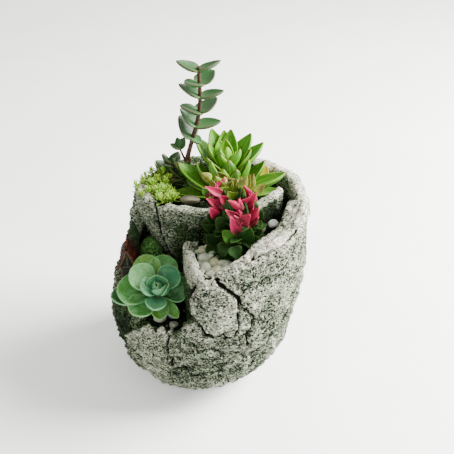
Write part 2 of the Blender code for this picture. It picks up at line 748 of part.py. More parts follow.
def make_mosses():
    dark = material("dark_moss", (0.02, 0.09, 0.015), 0.95)
    light = material("yellow_sedum", (0.34, 0.50, 0.06), 0.7)
    (x, y), r, seed = MOSS_BALL
    flat = LEDGE_BACK + GAP
    fuse("moss_ball", [lump((x, y, flat + 0.8 * r), (r, r, r * 0.9), seed, 2, flat)], dark)
    x, y = SEDUM_CENTRE
    flat = BOWL_SOIL + GAP
    shapes = [lump((x, y, flat + 2), [s * 0.82 for s in SEDUM_SIZE[:2]] + [6], 42, 2, flat)]
    rng = random.Random(43)
    for i in range(SEDUM_LEAVES):
        azimuth = 137.5 * i + rng.uniform(-14, 14)
        spread = math.sqrt((i + 0.5) / SEDUM_LEAVES)
        reach = 0.72 * spread
        a = math.radians(azimuth)
        root = (
            x + SEDUM_SIZE[0] * reach * math.cos(a), y + SEDUM_SIZE[1] * reach * math.sin(a),
            flat + 2 + 4.4 * math.sqrt(max(1 - reach * reach, 0)) - 1.2,
        )
        leaf = blade(rng.uniform(5.5, 8), 2.8, 1.8, BOAT, 0.1, 0.1, (0, 0.5, 1), simple=True)
        shapes.append(placed(leaf, aim(root, azimuth, 84 - 44 * spread + rng.uniform(-8, 8))))
    fuse("yellow_sedum", shapes, light)


COTTAGE = (-54.5, -10.8)  # plan centre
COTTAGE_SIZE = (12, 12.5, 15)
ROOF_RISE, ROOF_OVERHANG, ROOF_THICK = 15, 1.6, 2.4
TURRET = (-50.6, 2.6)
TURRET_RADIUS, TURRET_TOP, TURRET_ROOF = 4.6, 128, 13


def box(low, high):
    rings = [
        [(low[0], low[1], z), (high[0], low[1], z), (high[0], high[1], z), (low[0], high[1], z)]
        for z in (low[2], high[2])
    ]
    return loft(rings)


def make_cottage():
    walls = material("cottage_wall", (0.05, 0.09, 0.05), 0.8)
    roof = material("cottage_roof", (0.30, 0.06, 0.03), 0.75)
    stone = material("turret_stone", (0.13, 0.11, 0.05), 0.85)
    trim = material("cottage_trim", (0.55, 0.42, 0.34), 0.8)
    x, y = COTTAGE
    wide, deep, tall = COTTAGE_SIZE
    base = LEDGE_BACK + GAP
    eave = base + tall
    half = wide / 2
    steep = ROOF_RISE / half
    gable = [
        [(x - half, s, base), (x + half, s, base), (x + half, s, eave), (x, s, eave + ROOF_RISE),
         (x - half, s, eave)]
        for s in (y - deep / 2, y + deep / 2)
    ]
    fuse("cottage_walls", [loft(gable)], walls)
    lift = GAP * math.hypot(1, steep)
    thick = ROOF_THICK * math.hypot(1, steep)
    out = half + ROOF_OVERHANG
    low_edge = eave - ROOF_OVERHANG * steep + lift
    peak = eave + ROOF_RISE + lift
    roof_rings = [
        [(x - out, s, low_edge), (x, s, peak), (x + out, s, low_edge),
         (x + out, s, low_edge + thick), (x, s, peak + thick), (x - out, s, low_edge + thick)]
        for s in (y - deep / 2 - ROOF_OVERHANG, y + deep / 2 + ROOF_OVERHANG)
    ]
    fuse("cottage_roof", [loft(roof_rings)], roof)
    front = y - deep / 2 - GAP
    door = box((x - 2.2, front - 1.2, base), (x + 2.2, front, base + 8.5))
    fuse("cottage_door", [door], trim)
    tx, ty = TURRET
    shaft = [(tx, ty, base), (tx, ty, TURRET_TOP)]
    fuse("turret_walls", [tube(shaft, (TURRET_RADIUS, TURRET_RADIUS * 0.9), 14)], stone)
    cone = [(tx, ty, TURRET_TOP + GAP), (tx, ty, TURRET_TOP + GAP + TURRET_ROOF)]
    fuse("turret_roof", [tube(cone, (TURRET_RADIUS + 0.6, 0.7), 14)], roof)


def clear_scene():
    for old in list(bpy.data.objects):
        bpy.data.objects.remove(old)


def main():
    clear_scene()
    make_pot()
    make_soils()
    make_blue_rosette()
    make_green_rosette()
    make_yellow_leaf()
    make_tall_plant()
    make_crassulas()
    make_stones()
    make_mosses()
    make_cottage()


main()
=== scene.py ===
"""Looks of the potted succulents in a broken jar of hand-built stoneware.

Lengths are in millimetres and angles in degrees, unless a name says otherwise.  Angles round the
jar are measured from +X, so that -90 is the front.
"""

import math
import random
from types import SimpleNamespace

import bmesh
import bpy
import numpy as np
from mathutils import Matrix, Vector, noise
from mathutils.bvhtree import BVHTree


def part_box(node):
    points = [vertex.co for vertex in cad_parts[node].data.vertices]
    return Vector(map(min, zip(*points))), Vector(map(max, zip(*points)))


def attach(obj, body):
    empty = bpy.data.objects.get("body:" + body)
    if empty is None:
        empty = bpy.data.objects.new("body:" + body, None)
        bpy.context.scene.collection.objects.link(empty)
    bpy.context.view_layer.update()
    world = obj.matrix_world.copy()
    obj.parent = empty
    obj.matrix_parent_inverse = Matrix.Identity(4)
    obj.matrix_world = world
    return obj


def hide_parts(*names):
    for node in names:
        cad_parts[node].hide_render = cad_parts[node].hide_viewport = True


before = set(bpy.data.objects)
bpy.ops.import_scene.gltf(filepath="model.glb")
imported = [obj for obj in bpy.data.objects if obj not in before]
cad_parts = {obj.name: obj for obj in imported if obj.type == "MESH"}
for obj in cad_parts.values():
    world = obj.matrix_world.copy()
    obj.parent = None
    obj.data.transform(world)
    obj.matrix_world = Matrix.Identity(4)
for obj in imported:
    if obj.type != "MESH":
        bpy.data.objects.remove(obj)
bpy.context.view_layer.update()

MM = 0.001
BODY = "root"

# The jar's outer radius and centre at a few heights
JAR_LEVELS = (0, 5, 15, 32, 60, 95, 130, 160, 180)
JAR_RADII = (41, 49, 58, 71, 77, 77, 72.5, 70.5, 69.5)
JAR_CENTRES = (0, 1, 1.5, 2, 4, 10.6, 16, 18, 19)


# Modelling steps that every piece shares


def deselect():
    bpy.ops.object.select_all(action="DESELECT")


def activate(piece):
    deselect()
    piece.select_set(True)
    bpy.context.view_layer.objects.active = piece


def apply_modifiers(piece):
    activate(piece)
    for step in list(piece.modifiers):
        bpy.ops.object.modifier_apply(modifier=step.name)
    return piece


def join(name, parts):
    deselect()
    for part in parts:
        part.select_set(True)
    bpy.context.view_layer.objects.active = parts[0]
    if len(parts) > 1:
        bpy.ops.object.join()
    parts[0].name = parts[0].data.name = name
    return parts[0]


def copy_of(node, name):
    """A merged copy of a frame node's mesh, to start the piece that replaces it."""
    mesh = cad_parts[node].data.copy()
    mesh.materials.clear()
    piece = bpy.data.objects.new(name, mesh)
    bpy.context.scene.collection.objects.link(piece)
    work = bmesh.new()
    work.from_mesh(mesh)
    bmesh.ops.remove_doubles(work, verts=work.verts, dist=0.001 * MM)
    work.to_mesh(mesh)
    work.free()
    return piece


def remove(*patterns):
    for pattern in patterns:
        bpy.data.objects.remove(pattern)


def box_of(node):
    """A node's lowest and highest corner in millimetres."""
    low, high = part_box(node)
    return low / MM, high / MM


def foot_of(node):
    """Height of a node's underside in millimetres."""
    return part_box(node)[0].z / MM


def remesh(piece, voxel, smoothing):
    step = piece.modifiers.new("voxels", "REMESH")
    step.mode = "VOXEL"
    step.voxel_size = voxel * MM
    if smoothing:
        step = piece.modifiers.new("smooth", "SMOOTH")
        step.factor = 0.5
        step.iterations = smoothing
    return apply_modifiers(piece)


def points_of(piece):
    """Places in millimetres and normals of all points."""
    count = len(piece.data.vertices)
    places, normals = np.empty(count * 3), np.empty(count * 3)
    piece.data.vertices.foreach_get("co", places)
    piece.data.vertices.foreach_get("normal", normals)
    return places.reshape(-1, 3) / MM, normals.reshape(-1, 3)


def place_points(piece, places):
    piece.data.vertices.foreach_set("co", (places * MM).astype(np.float32).ravel())
    piece.data.update()


def mark(piece, name, values):
    """Keeps one number a point, for the materials."""
    layer = piece.data.attributes.new(name, "FLOAT", "POINT")
    layer.data.foreach_set("value", np.asarray(values, np.float32))


def tint(piece, colour):
    """Keeps one colour for the whole piece, for the materials."""
    layer = piece.data.attributes.new("tint", "FLOAT_COLOR", "POINT")
    layer.data.foreach_set("color", np.tile((*colour, 1.0), len(piece.data.vertices)))


def waves(places, size, seed, octaves=3, flat=1.0):
    """Smooth noise from about -1 to 1, in patches of about size; flat squashes them in height."""
    shift = Vector((7.3 * seed, 3.1 * seed, 5.7 * seed))
    scaled = places / size * (1, 1, flat)
    return np.array([noise.fractal(Vector(p) + shift, 1.0, 2.0, octaves) for p in scaled])


def smooth_step(values, low, high):
    t = np.clip((values - low) / (high - low), 0, 1)
    return t * t * (3 - 2 * t)


def finish_piece(piece, finish, slot, *nodes):
    """Gives a finished piece its material and its ride, and hides the frame nodes it stands for."""
    piece.data.materials.clear()
    piece.data.materials.append(finish)
    piece.data.shade_smooth()
    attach(piece, BODY)
    if nodes:
        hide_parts(*nodes)
    return piece


# Materials


def add(tree, kind, settings=None, inputs=None):
    """A shader node with its settings, and its inputs set or linked."""
    node = tree.nodes.new(kind)
    for key, value in (settings or {}).items():
        setattr(node, key, value)
    for key, value in (inputs or {}).items():
        if isinstance(value, bpy.types.NodeSocket):
            tree.links.new(value, node.inputs[key])
        else:
            node.inputs[key].default_value = value
    return node


def mix(tree, share, first, second, blend="MIX"):
    """Colours mixed by share; each argument is a socket, a number or a colour."""
    node = add(
        tree, "ShaderNodeMix", {"data_type": "RGBA", "blend_type": blend, "clamp_factor": True}
    )
    for index, value in ((0, share), (6, first), (7, second)):
        if isinstance(value, bpy.types.NodeSocket):
            tree.links.new(value, node.inputs[index])
        elif index:
            node.inputs[index].default_value = (*value, 1.0)
        else:
            node.inputs[index].default_value = value
    return node.outputs[2]


def calc(tree, operation, first, second=0.0, third=0.0):
    return add(
        tree, "ShaderNodeMath", {"operation": operation}, {0: first, 1: second, 2: third}
    ).outputs[0]


def range_of(tree, value, low, high, to_low=0.0, to_high=1.0):
    """value from low to high, smoothly turned into to_low to to_high."""
    return add(
        tree, "ShaderNodeMapRange", {"interpolation_type": "SMOOTHSTEP"},
        {0: value, 1: low, 2: high, 3: to_low, 4: to_high},
    ).outputs[0]


def ramp(tree, value, stops):
    node = add(tree, "ShaderNodeValToRGB", inputs={0: value})
    while len(node.color_ramp.elements) < len(stops):
        node.color_ramp.elements.new(0.5)
    for element, (place, colour) in zip(node.color_ramp.elements, stops):
        element.position = place
        element.color = (*colour, 1.0)
    return node.outputs[0]


def here(tree, stretch=(1, 1, 1)):
    """Object coordinates, with patterns squeezed by stretch."""
    place = add(tree, "ShaderNodeTexCoord").outputs["Object"]
    return add(tree, "ShaderNodeMapping", inputs={"Vector": place, "Scale": stretch}).outputs[0]


def grain(tree, place, size, detail=3.0, roughness=0.55, distortion=0.0):
    """Noise in patches of size millimetres; a group's socket gives the noise scale itself."""
    scale = size if isinstance(size, bpy.types.NodeSocket) else 1000 / size
    return add(
        tree, "ShaderNodeTexNoise", None,
        {"Vector": place, "Scale": scale, "Detail": detail, "Roughness": roughness,
         "Distortion": distortion},
    ).outputs[0]


def attribute(tree, name):
    return add(tree, "ShaderNodeAttribute", {"attribute_name": name})


def bump(tree, height, depth):
    """Relief of depth millimetres."""
    return add(tree, "ShaderNodeBump", None, {"Height": height, "Distance": depth * MM}).outputs[0]


def start_finish(name, roughness, **constants):
    """A material, its tree and its shader."""
    finish = bpy.data.materials.new(name)
    finish.use_nodes = True
    shader = finish.node_tree.nodes["Principled BSDF"]
    shader.inputs["Roughness"].default_value = roughness
    for key, value in constants.items():
        shader.inputs[key.replace("_", " ")].default_value = value
    return finish, finish.node_tree, shader


def close_finish(tree, shader, colour, normal=None):
    tree.links.new(colour, shader.inputs["Base Color"])
    if normal is not None:
        tree.links.new(normal, shader.inputs["Normal"])


def start_group(name, colours, values):
    """A node group with colour and number inputs that puts out a colour and a relief."""
    group = bpy.data.node_groups.new(name, "ShaderNodeTree")
    for kind, given in (("NodeSocketColor", colours), ("NodeSocketFloat", values)):
        for label, value in given:
            socket = group.interface.new_socket(label, in_out="INPUT", socket_type=kind)
            socket.default_value = value
    group.interface.new_socket("Colour", in_out="OUTPUT", socket_type="NodeSocketColor")
    group.interface.new_socket("Relief", in_out="OUTPUT", socket_type="NodeSocketFloat")
    return group, group.nodes.new("NodeGroupInput").outputs, group.nodes.new("NodeGroupOutput").inputs


def place_group(tree, group, inputs):
    """Puts a node group in a material with its own values."""
    node = add(tree, "ShaderNodeGroup", {"node_tree": group}, inputs)
    return node.outputs["Colour"], node.outputs["Relief"]


def leaf_flesh_group():
    """Colour and relief of a fleshy leaf, from its UV: u from root to tip, v across."""
    group, given, result = start_group(
        "leaf_flesh",
        (("Root", (0.1, 0.2, 0.05, 1)), ("Edge", (0.4, 0.6, 0.3, 1)), ("Tip", (0.2, 0.3, 0.1, 1))),
        (("Root length", 0.5), ("Edge width", 0.12), ("Tip length", 0.12), ("Mottle", 0.3),
         ("Stripes", 0.0)),
    )
    flat = add(group, "ShaderNodeTexCoord").outputs["UV"]
    uv = add(group, "ShaderNodeSeparateXYZ", inputs={0: flat})
    along, across = uv.outputs[0], uv.outputs[1]
    side = calc(group, "ABSOLUTE", calc(group, "MULTIPLY_ADD", across, 2.0, -1.0))
    body = attribute(group, "tint").outputs["Color"]
    place = here(group)
    patches = grain(group, place, 7, 3, 0.6)
    fine = grain(group, place, 1.1, 3, 0.6)
    root_share = calc(group, "SUBTRACT", 1.0, range_of(group, along, 0.0, given["Root length"]))
    colour = mix(group, root_share, body, given["Root"])
    stretched = add(group, "ShaderNodeCombineXYZ", inputs={
        0: calc(group, "MULTIPLY", along, 0.0012), 1: calc(group, "MULTIPLY", across, 0.011),
    }).outputs[0]
    lines = grain(group, stretched, 1.0, 2, 0.5)
    light_lines = calc(group, "MULTIPLY", range_of(group, lines, 0.48, 0.66), given["Stripes"])
    colour = mix(group, light_lines, colour, given["Edge"])
    spots = calc(group, "MULTIPLY", range_of(group, patches, 0.40, 0.68), given["Mottle"])
    colour = mix(group, spots, colour, given["Edge"])
    dark_spots = calc(group, "MULTIPLY", range_of(group, fine, 0.60, 0.36), given["Mottle"])
    colour = mix(group, dark_spots, colour, given["Root"])
    start = calc(group, "SUBTRACT", 1.0, given["Edge width"])
    uneven = calc(group, "MULTIPLY_ADD", patches, 0.08, calc(group, "SUBTRACT", side, 0.04))
    edge_share = range_of(group, uneven, start, 1.0)
    end = calc(group, "SUBTRACT", 1.0, given["Tip length"])
    near_tip = range_of(group, along, end, 1.0)
    colour = mix(group, calc(group, "MULTIPLY", edge_share, 0.6), colour, given["Edge"])
    colour = mix(group, near_tip, colour, given["Tip"])
    group.links.new(colour, result["Colour"])
    relief = calc(group, "MULTIPLY_ADD", fine, 0.35, calc(group, "MULTIPLY", lines, given["Stripes"]))
    group.links.new(relief, result["Relief"])
    return group


def mottle_group():
    """A colour broken up into lighter and darker patches, with their relief."""
    group, given, result = start_group(
        "mottle", (("Colour", (0.5, 0.5, 0.5, 1)),),
        (("Patches", 300.0), ("Darkest", 0.4), ("Stretch", 1.0)),
    )
    stretch = add(group, "ShaderNodeCombineXYZ", inputs={0: 1.0, 1: 1.0, 2: given["Stretch"]})
    patches = grain(group, here(group, stretch.outputs[0]), given["Patches"], 4, 0.65)
    shade = range_of(group, patches, 0.35, 0.65, given["Darkest"], 1.0)
    group.links.new(mix(group, 1.0, given["Colour"], shade, "MULTIPLY"), result["Colour"])
    group.links.new(patches, result["Relief"])
    return group


def worn_paint_group():
    """Paint that is worn to a second colour in patches, with fine dirt in its grain."""
    group, given, result = start_group(
        "worn_paint",
        (("Paint", (0.05, 0.01, 0.01, 1)), ("Worn", (0.2, 0.05, 0.02, 1)),
         ("Dirt", (0.01, 0.01, 0.01, 1))),
        (("Patches", 170.0),),
    )
    place = here(group)
    patches = grain(group, place, given["Patches"], 5, 0.68)
    fine = grain(group, place, 0.9, 3, 0.6)
    colour = mix(group, range_of(group, patches, 0.50, 0.70), given["Paint"], given["Worn"])
    colour = mix(group, range_of(group, fine, 0.52, 0.34, 0.0, 0.7), colour, given["Dirt"])
    group.links.new(colour, result["Colour"])
    group.links.new(fine, result["Relief"])
    return group


LEAF_FLESH = leaf_flesh_group()
MOTTLE = mottle_group()
WORN_PAINT = worn_paint_group()
LEAF_RELIEF = 0.25


def mottled(tree, size, darkest, stretch=1.0):
    """The piece's own colour in patches of size millimetres, and their relief."""
    return place_group(tree, MOTTLE, {
        "Colour": attribute(tree, "tint").outputs["Color"], "Patches": 1000 / size,
        "Darkest": darkest, "Stretch": stretch,
    })


def leaf_finish(name, root, edge, tip, root_length, edge_width, tip_length, mottle,
                stripes=0.0, roughness=0.5, shine=0.35):
    """A fleshy leaf with its own colours; lengths and widths are shares of the leaf."""
    finish, tree, shader = start_finish(
        name, roughness, Subsurface_Weight=0.12, Subsurface_Scale=0.003, Specular_IOR_Level=shine,
    )
    colour, relief = place_group(tree, LEAF_FLESH, {
        "Root": (*root, 1), "Edge": (*edge, 1), "Tip": (*tip, 1), "Root length": root_length,
        "Edge width": edge_width, "Tip length": tip_length, "Mottle": mottle, "Stripes": stripes,
    })
    close_finish(tree, shader, colour, bump(tree, relief, LEAF_RELIEF))
    return finish


def stoneware():
    """Dry-brushed stoneware: a pale worn ground with short black pits and deep black cracks, and
    painted shade in dark green.
    """
    finish, tree, shader = start_finish("stoneware", 0.9, Specular_IOR_Level=0.12)
    place = here(tree, (1, 1, 1.5))
    fine = grain(tree, place, 1.6, 4, 0.74, 0.5)
    runs = grain(tree, place, 2.6, 3, 0.6, 1.2)
    patches = grain(tree, here(tree), 17, 3, 0.6)
    rim, crack, damp, pit, recess = (
        attribute(tree, name).outputs["Fac"] for name in ("rim", "crack", "damp", "pit", "recess")
    )
    tracks = range_of(tree, calc(tree, "ABSOLUTE", calc(tree, "SUBTRACT", runs, 0.5)), 0.0, 0.06)
    height = calc(tree, "MULTIPLY_ADD", fine, 0.95, -0.175)
    # The painted-shade mask also adds dark pits where it is high.
    for value, amount in (
        (tracks, 0.16), (patches, 0.13), (rim, 0.06), (recess, -0.055), (pit, -0.12), (damp, -0.03),
    ):
        height = calc(tree, "MULTIPLY_ADD", value, amount, height)
    shade = ramp(tree, height, (
        (0.425, (0.012, 0.026, 0.014)), (0.452, (0.07, 0.10, 0.07)), (0.475, (0.36, 0.38, 0.32)),
        (0.505, (0.78, 0.77, 0.71)), (0.58, (1.0, 1.0, 1.0)),
    ))
    ground = mix(tree, rim, (0.52, 0.545, 0.43), (0.74, 0.685, 0.59))
    colour = mix(tree, 1.0, ground, shade, "MULTIPLY")
    wash = range_of(tree, grain(tree, here(tree, (1, 1, 1.3)), 16, 3, 0.6), 0.44, 0.62)
    colour = mix(tree, calc(tree, "MULTIPLY", wash, 0.4), colour, (0.66, 0.84, 0.74), "MULTIPLY")
    # Painted shade, with a few real stains: dark green is multiplied in where the mask is high.
    colour = mix(tree, damp, colour, (0.18, 0.30, 0.14), "MULTIPLY")
    # Black in the cracks; the same black in the grooves, the seam and at the stub's foot is painted
    # shade.
    colour = mix(tree, range_of(tree, crack, 0.15, 0.7), colour, (0.004, 0.006, 0.004))
    relief = range_of(tree, height, 0.41, 0.55)
    close_finish(tree, shader, colour, bump(tree, relief, 1.2))
    return finish


def soil():
    """Dark potting soil with a few paler crumbs in it."""
    finish, tree, shader = start_finish("potting_soil", 0.95, Specular_IOR_Level=0.1)
    place = here(tree)
    lumps = grain(tree, place, 3.0, 5, 0.7)
    colour = ramp(tree, lumps, (
        (0.36, (0.001, 0.002, 0.001)), (0.50, (0.004, 0.008, 0.003)), (0.62, (0.015, 0.023, 0.009)),
        (0.74, (0.055, 0.055, 0.03)),
    ))
    close_finish(tree, shader, colour, bump(tree, lumps, 1.5))
    return finish


def crumbs():
    """Bark, grit and soil crumbs, in the colour kept on each."""
    finish, tree, shader = start_finish("crumbs", 0.9, Specular_IOR_Level=0.15)
    colour, relief = mottled(tree, 1.2, 0.35)
    close_finish(tree, shader, colour, bump(tree, relief, 0.5))
    return finish


def pebble():
    """Gravel and stones with dark specks, in the colour kept on each."""
    finish, tree, shader = start_finish("white_pebble", 0.6)
    colour, relief = mottled(tree, 4, 0.55)
    specks = grain(tree, here(tree), 0.8, 2, 0.6)
    colour = mix(tree, range_of(tree, specks, 0.62, 0.70, 0.0, 0.7), colour, (0.10, 0.11, 0.07))
    close_finish(tree, shader, colour, bump(tree, relief, 0.6))
    return finish


def moss():
    """Dark moss with lighter tufts."""
    finish, tree, shader = start_finish("dark_moss", 0.9, Specular_IOR_Level=0.15)
    tufts = grain(tree, here(tree), 1.6, 3, 0.7)
    tip = attribute(tree, "tip").outputs["Fac"]
    colour = ramp(tree, tufts, (
        (0.35, (0.004, 0.015, 0.003)), (0.50, (0.032, 0.10, 0.022)), (0.64, (0.15, 0.30, 0.07)),
    ))
    colour = mix(tree, range_of(tree, tip, 0.3, 1.0, 0.0, 0.55), colour, (0.11, 0.27, 0.06))
    close_finish(tree, shader, colour, bump(tree, tufts, 0.8))
    return finish


def bark():
    """Stems and dried leaf bases."""
    finish, tree, shader = start_finish("stem_bark", 0.8, Specular_IOR_Level=0.2)
    colour, relief = mottled(tree, 3, 0.42, 3.0)
    close_finish(tree, shader, colour, bump(tree, relief, 0.4))
    return finish


def painted_clay(name, paint, worn, size=6):
    """Painted clay that is worn to a second colour in patches of size millimetres."""
    finish, tree, shader = start_finish(name, 0.75, Specular_IOR_Level=0.15)
    colour, relief = place_group(tree, WORN_PAINT, {
        "Paint": (*paint, 1), "Worn": (*worn, 1), "Dirt": (*(c * 0.25 for c in paint), 1),
        "Patches": 1000 / size,
    })
    close_finish(tree, shader, colour, bump(tree, relief, 0.4))
    return finish


# The jar

# Cracks in the outer wall: line of (angle, height), half width, depth
CRACKS = (
    (((-94, 142), (-90.7, 142.2), (-89, 139), (-84.9, 134.5), (-80.1, 128.8), (-75.6, 123.7),
      (-72.5, 115.4), (-68.3, 108.8), (-64.1, 102.7), (-64.2, 94.9), (-65.3, 88.6), (-65.5, 82.8),
      (-63.4, 73.6)), 1.5, 4.5),
    (((-75.3, 120.4), (-75.3, 112), (-73.6, 103.9), (-72.5, 95.7), (-73.4, 88.3)), 1.5, 4),
    (((-90.6, 92), (-85.6, 89.7), (-80.8, 90.4), (-78, 85.8), (-73.2, 87.2), (-66.6, 85.4)), 1.0, 3),
    (((-98, 105), (-94.3, 100.6), (-92.2, 95.5), (-90.4, 90.6)), 1.4, 4),
    (((-111.6, 87), (-111.8, 74.2), (-110.4, 67.7), (-107, 64), (-102, 57.1), (-98, 52.7)), 1.7, 4.5),
    (((-107, 64), (-106, 56), (-99, 48)), 1.0, 2.5),
    (((-149.6, 90.8), (-145.7, 81), (-142.6, 70.6), (-144.2, 58.2), (-141, 48), (-134, 40)), 1.3, 3.5),
    (((-127, 42), (-121, 39), (-116, 38), (-112, 33)), 0.9, 2.2),
    (((-60, 60), (-52, 63), (-45, 70), (-38, 71)), 0.8, 1.8),
    (((-58, 85), (-50, 92), (-42, 95)), 0.8, 1.8),
    (((60, 150), (63, 128), (58, 110), (66, 92)), 1.2, 3),
    (((120, 120), (116, 100), (124, 84), (119, 66)), 1.1, 3),
    (((10, 120), (16, 104), (8, 88)), 1.0, 2.5),
)
# Grooves that set off the folded rim and the layers, blackened with painted shade: line, half width,
# depth
GROOVES = (
    (((-72, 150.5), (-68.5, 153.4), (-62.8, 155.1), (-56.6, 156.3), (-47.4, 157.7),
      (-40.1, 158.9), (-32.4, 160.6), (-21, 160), (-6, 156)), 1.7, 3.0),
    (((-67.9, 168), (-65.9, 166), (-65.1, 162), (-66.9, 158), (-68.6, 155)), 0.9, 2.2),
    (((-90, 76), (-85.2, 76.3), (-78.4, 69.5), (-70.9, 70.3), (-62, 60), (-50, 66), (-36, 70)),
     1.2, 1.6),
    (((-66.6, 84.2), (-60, 76), (-54.8, 79.9), (-44.6, 81), (-31, 77)), 1.2, 1.6),
    (((-140, 55), (-122, 49), (-100, 46), (-80, 50), (-60, 48), (-40, 52)), 1.6, 1.2),
    (((-132, 30), (-110, 26), (-84, 28), (-60, 33), (-35, 42)), 1.6, 1.0),
)
# Places where the broken edge is cut away, as outlines of (angle, height)
NOTCHES = (
    ((-101.9, 130), (-103.1, 121), (-102.2, 115.9), (-99.5, 111), (-96.4, 107.3), (-94.8, 103.6),
     (-98, 99.5), (-103, 96.2), (-105.6, 93), (-107, 86), (-110.3, 83), (-112.6, 86), (-113, 90),
     (-113, 130)),
    ((-134.4, 112), (-133.8, 84.5), (-131.4, 83.2), (-129.1, 83.6), (-127, 85.4), (-125.6, 86.8),
     (-124.2, 86), (-123.3, 83.5), (-121.8, 80.6), (-120.4, 82), (-119.6, 86.5), (-118.6, 91),
     (-116.7, 93.8), (-115, 93), (-113.6, 90.5), (-112.8, 88), (-112.8, 112)),
)
NOTCH_REACH = (62, 84)
# The slab left of the notch is thin: outline of (angle, height), and the reach cut away behind it
SLAB_BACK = (
    (-134.4, 112), (-134.4, 80.4), (-127, 80.2), (-120, 80.2), (-113.4, 80.4), (-113.4, 112),
    (-120, 112), (-127, 112),
)
SLAB_REACH = (60, 73)
# The lip slab drops behind its high front part: outline in plan, and the heights that are cut away
LIP_GAP = ((-14, -32), (4, -30), (6, -13), (-11, -12.5))
LIP_GAP_HEIGHTS = (131, 153)
# Seam between the round lump and the lip slab, in space, blackened as a painted shadow line
SEAM = (
    (12.5, -67.5, 140), (11.7, -66.5, 138.3), (8.9, -64.6, 135.4), (7.1, -65, 134.1),
    (4.4, -63.8, 130.7), (2.3, -63.8, 128.4), (0, -60.4, 122.4), (-1.2, -59.5, 118.8),
    (-2.2, -58, 114),
)
# The round lump left of the main crack: (angle, height) of its middle and half sizes
LUMP = ((-88.5, 116), (14.5, 25))
LUMP_RISE = 3.4
# Crack in the bowl's front wall, as (x, height)
BOWL_CRACK = ((-31, 158), (-30, 150), (-28.5, 142), (-27.5, 133), (-24, 122), (-20, 112))
# Top edge of the outer layer near its left end, as (angle, height), and the angle where it ends
LAYER_TOP = ((-144, 60), (-143, 64), (-137, 73), (-133.5, 78.6), (-131, 82), (-129.5, 90))
LAYER_SIDE = 144
LAYER_STEP = 4.2
RIM_THICKER = 5
BAND_RISE = 1.5
OUTER_SKIN = 4.5  # points less deep than this belong to the outer wall
BURIED = (146.0, 122.0, 76.0)  # heights below which soil hides the wall: bowl, pocket, ledge
POT_TRIANGLES = 196000


def line_distance(across, up, line, scale):
    """Distance of points from a line of (across, up) points; scale turns across into millimetres."""
    nearest = np.full(len(up), 1e9)
    for (a0, b0), (a1, b1) in zip(line, line[1:]):
        run_a, run_b = (a1 - a0) * scale, b1 - b0
        off_a, off_b = (across - a0) * scale, up - b0
        t = np.clip((off_a * run_a + off_b * run_b) / (run_a ** 2 + run_b ** 2), 0, 1)
        nearest = np.minimum(nearest, np.hypot(off_a - t * run_a, off_b - t * run_b))
    return nearest


def wall_place(angle, z, reach):
    """A place at a height, as far from the jar's middle as reach."""
    a = math.radians(angle)
    centre = float(np.interp(z, JAR_LEVELS, JAR_CENTRES))
    return Vector((centre + reach * math.cos(a), reach * math.sin(a), z))


def path_distance(places, path):
    """Distance of points from a path in space."""
    nearest = np.full(len(places), 1e9)
    for start, end in zip(path, path[1:]):
        start, run = np.array(start), np.array(end) - np.array(start)
        t = np.clip((places - start) @ run / (run @ run), 0, 1)
        nearest = np.minimum(nearest, np.linalg.norm(places - start - t[:, None] * run, axis=1))
    return nearest


def rim_profile(angles, heights, outer):
    """The rim's height at each point, from the highest outer point in each few degrees."""
    sectors = 120
    index = ((angles + 180) / 360 * sectors).astype(int) % sectors
    top = np.zeros(sectors)
    np.maximum.at(top, index[outer], heights[outer])
    at = (np.arange(sectors) + 0.5) / sectors * 360 - 180
    return np.interp(angles, at, top, period=360)


def read_wall(pot):
    """The jar's points, where each lies on the wall, and the push and crack that it will get."""
    places, normals = points_of(pot)
    x, y, z = places.T
    radius = np.interp(z, JAR_LEVELS, JAR_RADII)
    centre = np.interp(z, JAR_LEVELS, JAR_CENTRES)
    angle = np.degrees(np.arctan2(y, x - centre))
    inset = radius - np.hypot(x - centre, y)
    outer = inset < OUTER_SKIN
    return SimpleNamespace(
        places=places, normals=normals, x=x, y=y, z=z, angle=angle, inset=inset, outer=outer,
        rim_top=rim_profile(angle, z, outer), to_mm=radius * math.pi / 180,
        jitter=1.1 * waves(places, 4, 1, 2), push=np.zeros(len(z)), crack=np.zeros(len(z)),
    )


def open_cracks(wall):
    """Sinks and blackens the cracks, the grooves and the seam beside the lump; the black in the grooves
    and the seam is painted shade.
    """
    width = 1 + 0.7 * waves(wall.places, 11, 7, 1)
    for line, half_width, deep in CRACKS:
        near = line_distance(wall.angle, wall.z, line, wall.to_mm) + wall.jitter
        share = np.clip(1 - near / (half_width * width), 0, 1) * wall.outer
        wall.push -= deep * smooth_step(share, 0, 0.7)
        wall.crack = np.maximum(wall.crack, smooth_step(share, 0.1, 0.6))
    for line, half_width, deep in GROOVES:
        near = line_distance(wall.angle, wall.z, line, wall.to_mm) + 1.6 * wall.jitter
        wall.push -= deep * smooth_step(1 - near / (2 * half_width), 0, 1) * wall.outer
        # Painted shade along the groove's crease.
        dark = 0.62 * smooth_step(1 - near / (1.2 * half_width), 0.1, 0.8) * wall.outer
        wall.crack = np.maximum(wall.crack, dark)
    near = path_distance(wall.places, SEAM) + 0.3 * wall.jitter
    wall.push -= 2.4 * smooth_step(1 - near / 2.4, 0, 0.8)
    # Painted shadow in the seam.
    wall.crack = np.maximum(wall.crack, smooth_step(1 - near / 2.0, 0, 0.6))
    wall.seam_room = smooth_step(near, 0.5, 4)


